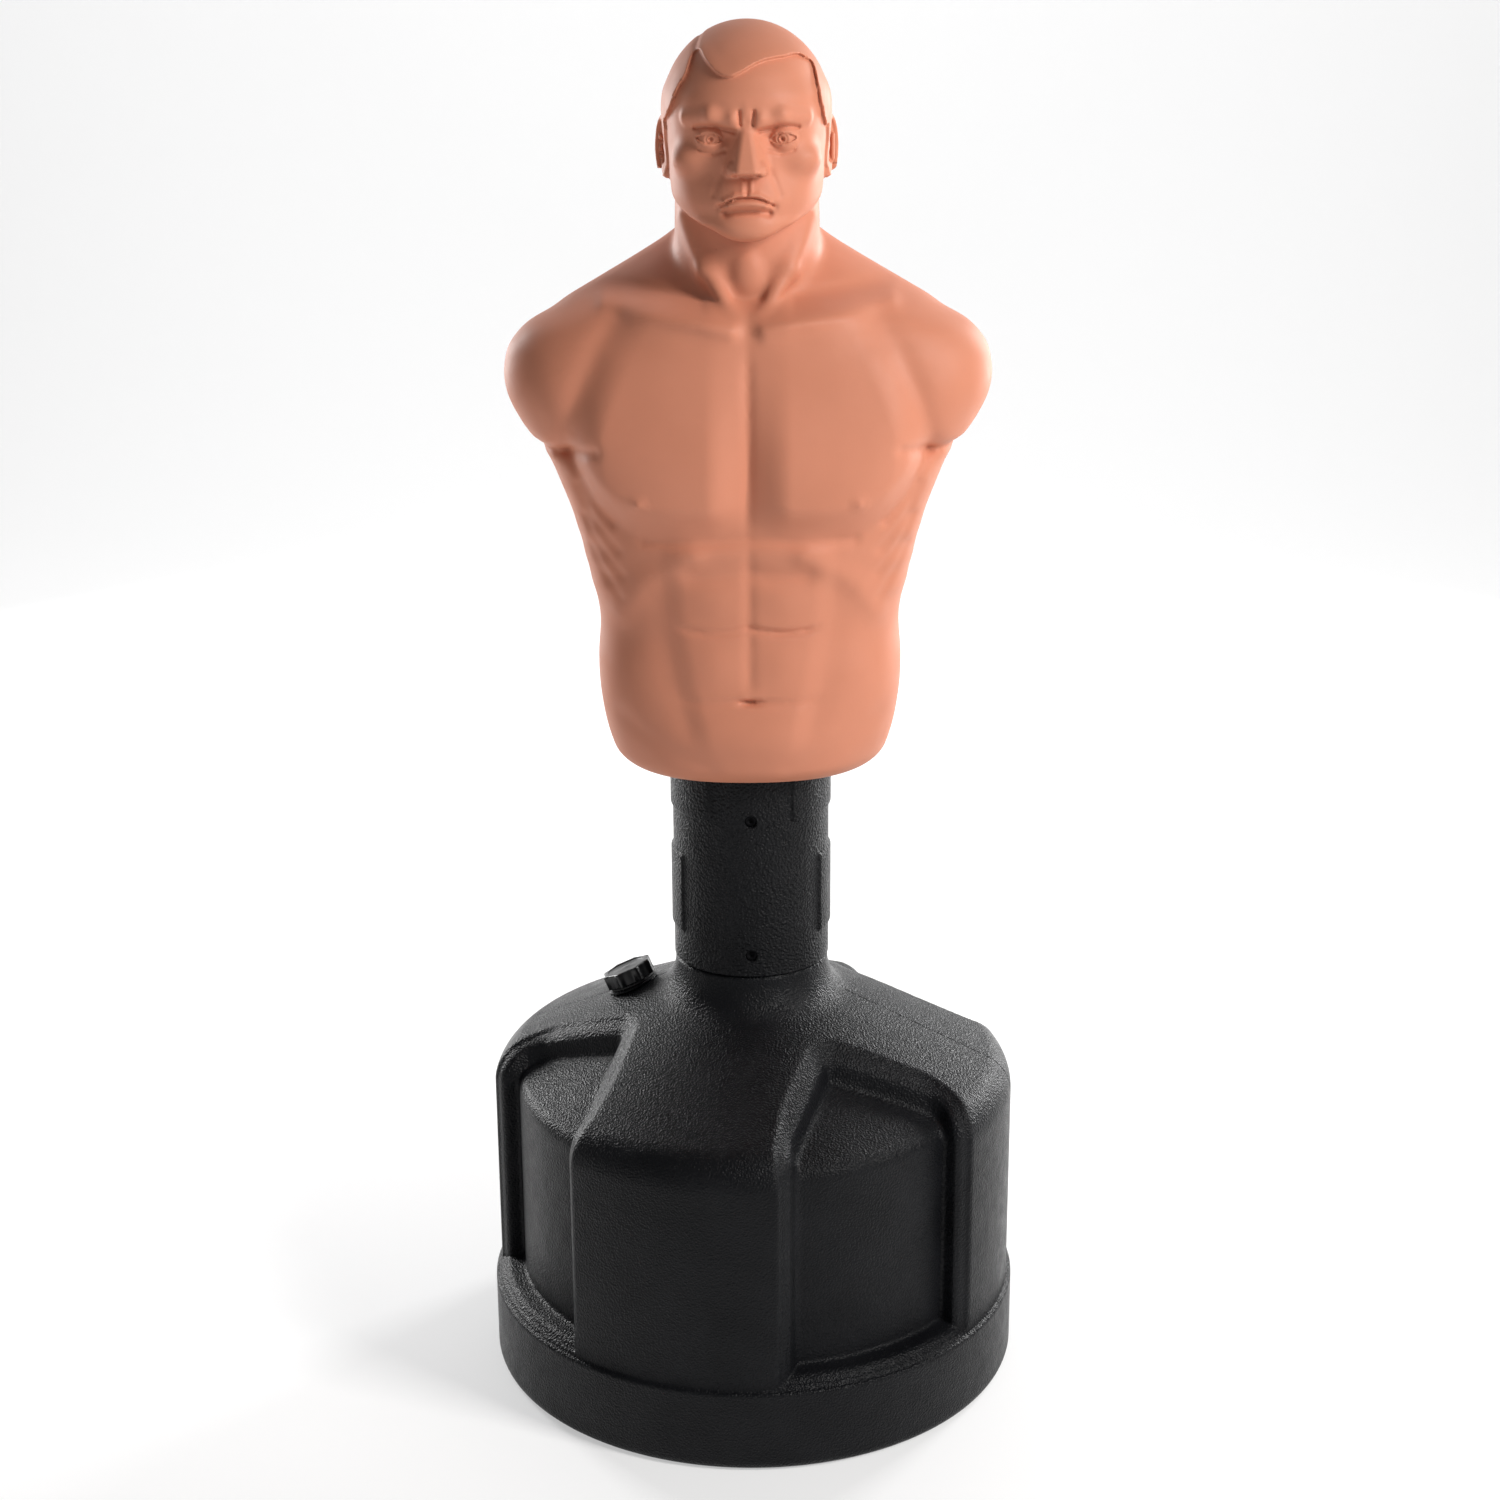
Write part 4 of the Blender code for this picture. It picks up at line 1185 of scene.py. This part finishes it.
def make_water():
    material, shader = new_material("water", (0.55, 0.75, 0.8), 0.03)
    tint(shader, noise(shader, 6, 2), (0.5, 0.72, 0.78), (0.62, 0.8, 0.84))
    set_inputs(shader, Transmission_Weight=0.8, IOR=1.33)
    bump_layers(shader, (noise(shader, 12, 2), 0.15, 0.004))
    return material


def finish_nodes(materials):
    """Materials for the CAD nodes that are shown as they are."""
    for name, material in materials.items():
        for node, item in frame["nodes"].items():
            if node.startswith(name):
                give_material(item, material)


# ---------------- stage

CAMERA_PLACE = (0.0047, -2.747, 1.606)
CAMERA_PITCH = 17.64
CAMERA_ROLL = 0.34
CAMERA_LENS = 61.58
SWEEP_WIDTH = 14.0                # half of the backdrop's width
SWEEP_START = 4.0
SWEEP_RADIUS = 2.5
SWEEP_HEIGHT = 7.0


def add_light(name, place, aim, size, power, color=(1, 1, 1)):
    data = bpy.data.lights.new(name, "AREA")
    data.shape = "RECTANGLE"
    data.size, data.size_y = size
    data.energy = power
    data.color = color
    light = add_object(name, data)
    light.location = place
    light.rotation_euler = (Vector(aim) - Vector(place)).to_track_quat("-Z", "Y").to_euler()


def make_stage():
    data = bpy.data.cameras.new("camera")
    data.sensor_width = 36.0
    data.lens = CAMERA_LENS
    camera = add_object("camera", data)
    camera.location = CAMERA_PLACE
    camera.rotation_euler = (math.radians(90 - CAMERA_PITCH), math.radians(CAMERA_ROLL), 0)
    bpy.context.scene.camera = camera
    bpy.context.scene.view_settings.view_transform = "Standard"

    bend = arc((SWEEP_START, SWEEP_RADIUS), SWEEP_RADIUS, -90, 0, 12)
    section = [(-SWEEP_WIDTH, 0)] + bend + [(SWEEP_START + SWEEP_RADIUS, SWEEP_HEIGHT)]
    corners = [(side, y, z - 0.0005) for y, z in section for side in (-SWEEP_WIDTH, SWEEP_WIDTH)]
    faces = [(2 * i, 2 * i + 1, 2 * i + 3, 2 * i + 2) for i in range(len(section) - 1)]
    mesh = bpy.data.meshes.new("backdrop")
    mesh.from_pydata(corners, [], faces)
    backdrop = add_mesh("backdrop", mesh)
    paper = new_material("backdrop_paper", (0.55, 0.55, 0.55), 0.9, Specular_IOR_Level=0.1,
                         Emission_Color=(1, 1, 1, 1), Emission_Strength=0.44)[0]
    mesh.materials.append(paper)

    world = bpy.data.worlds.new("world")
    world.use_nodes = True
    set_inputs(world.node_tree.nodes["Background"], Color=(0.95, 0.96, 1.0, 1), Strength=0.14)
    bpy.context.scene.world = world
    add_light("key", (2.5, -1.7, 2.7), (0, 0, 1.1), (0.9, 1.4), 118, (1.0, 0.98, 0.96))
    add_light("fill", (-1.3, -3.0, 2.3), (0, 0, 1.15), (1.6, 1.2), 4)
    add_light("edge_left", (-2.4, 2.6, 1.5), (0, 0, 0.7), (0.8, 2.0), 92)
    add_light("edge_right", (2.4, 2.6, 1.5), (0, 0, 0.7), (0.8, 2.0), 100)
    add_light("backdrop_wash", (0, 2.2, 4.2), (0, 6.0, 0.5), (5.0, 1.0), 150)


def main():
    vinyl = make_vinyl()
    base_plastic = make_grained_plastic("base_plastic", (0.0034, 0.0037, 0.0046), 500, 0.0022, 0.33, 0.14)
    post_plastic = make_grained_plastic("post_plastic", (0.0036, 0.0038, 0.0046), 380, 0.0042, 0.36, 0.16)
    cap_plastic = make_smooth_plastic("cap_plastic", (0.008, 0.008, 0.009), 0.28)
    sleeve_plastic = make_smooth_plastic("sleeve_plastic", (0.02, 0.02, 0.022), 0.5)
    make_torso(vinyl, make_foam())
    make_base(base_plastic)
    make_post(post_plastic)
    make_screws(make_metal("dark_steel", (0.011, 0.011, 0.012), 0.45))
    make_fill_neck(base_plastic)
    make_cap(cap_plastic)
    finish_nodes({"socket_sleeve": sleeve_plastic, "lock_lug": sleeve_plastic,
                  "threaded_insert": make_metal("insert_brass", (0.72, 0.52, 0.22), 0.25, (1, 1, 6)),
                  "cap_seal": make_smooth_plastic("seal_rubber", (0.02, 0.02, 0.02), 0.75),
                  "water_ballast": make_water()})
    make_stage()


main()
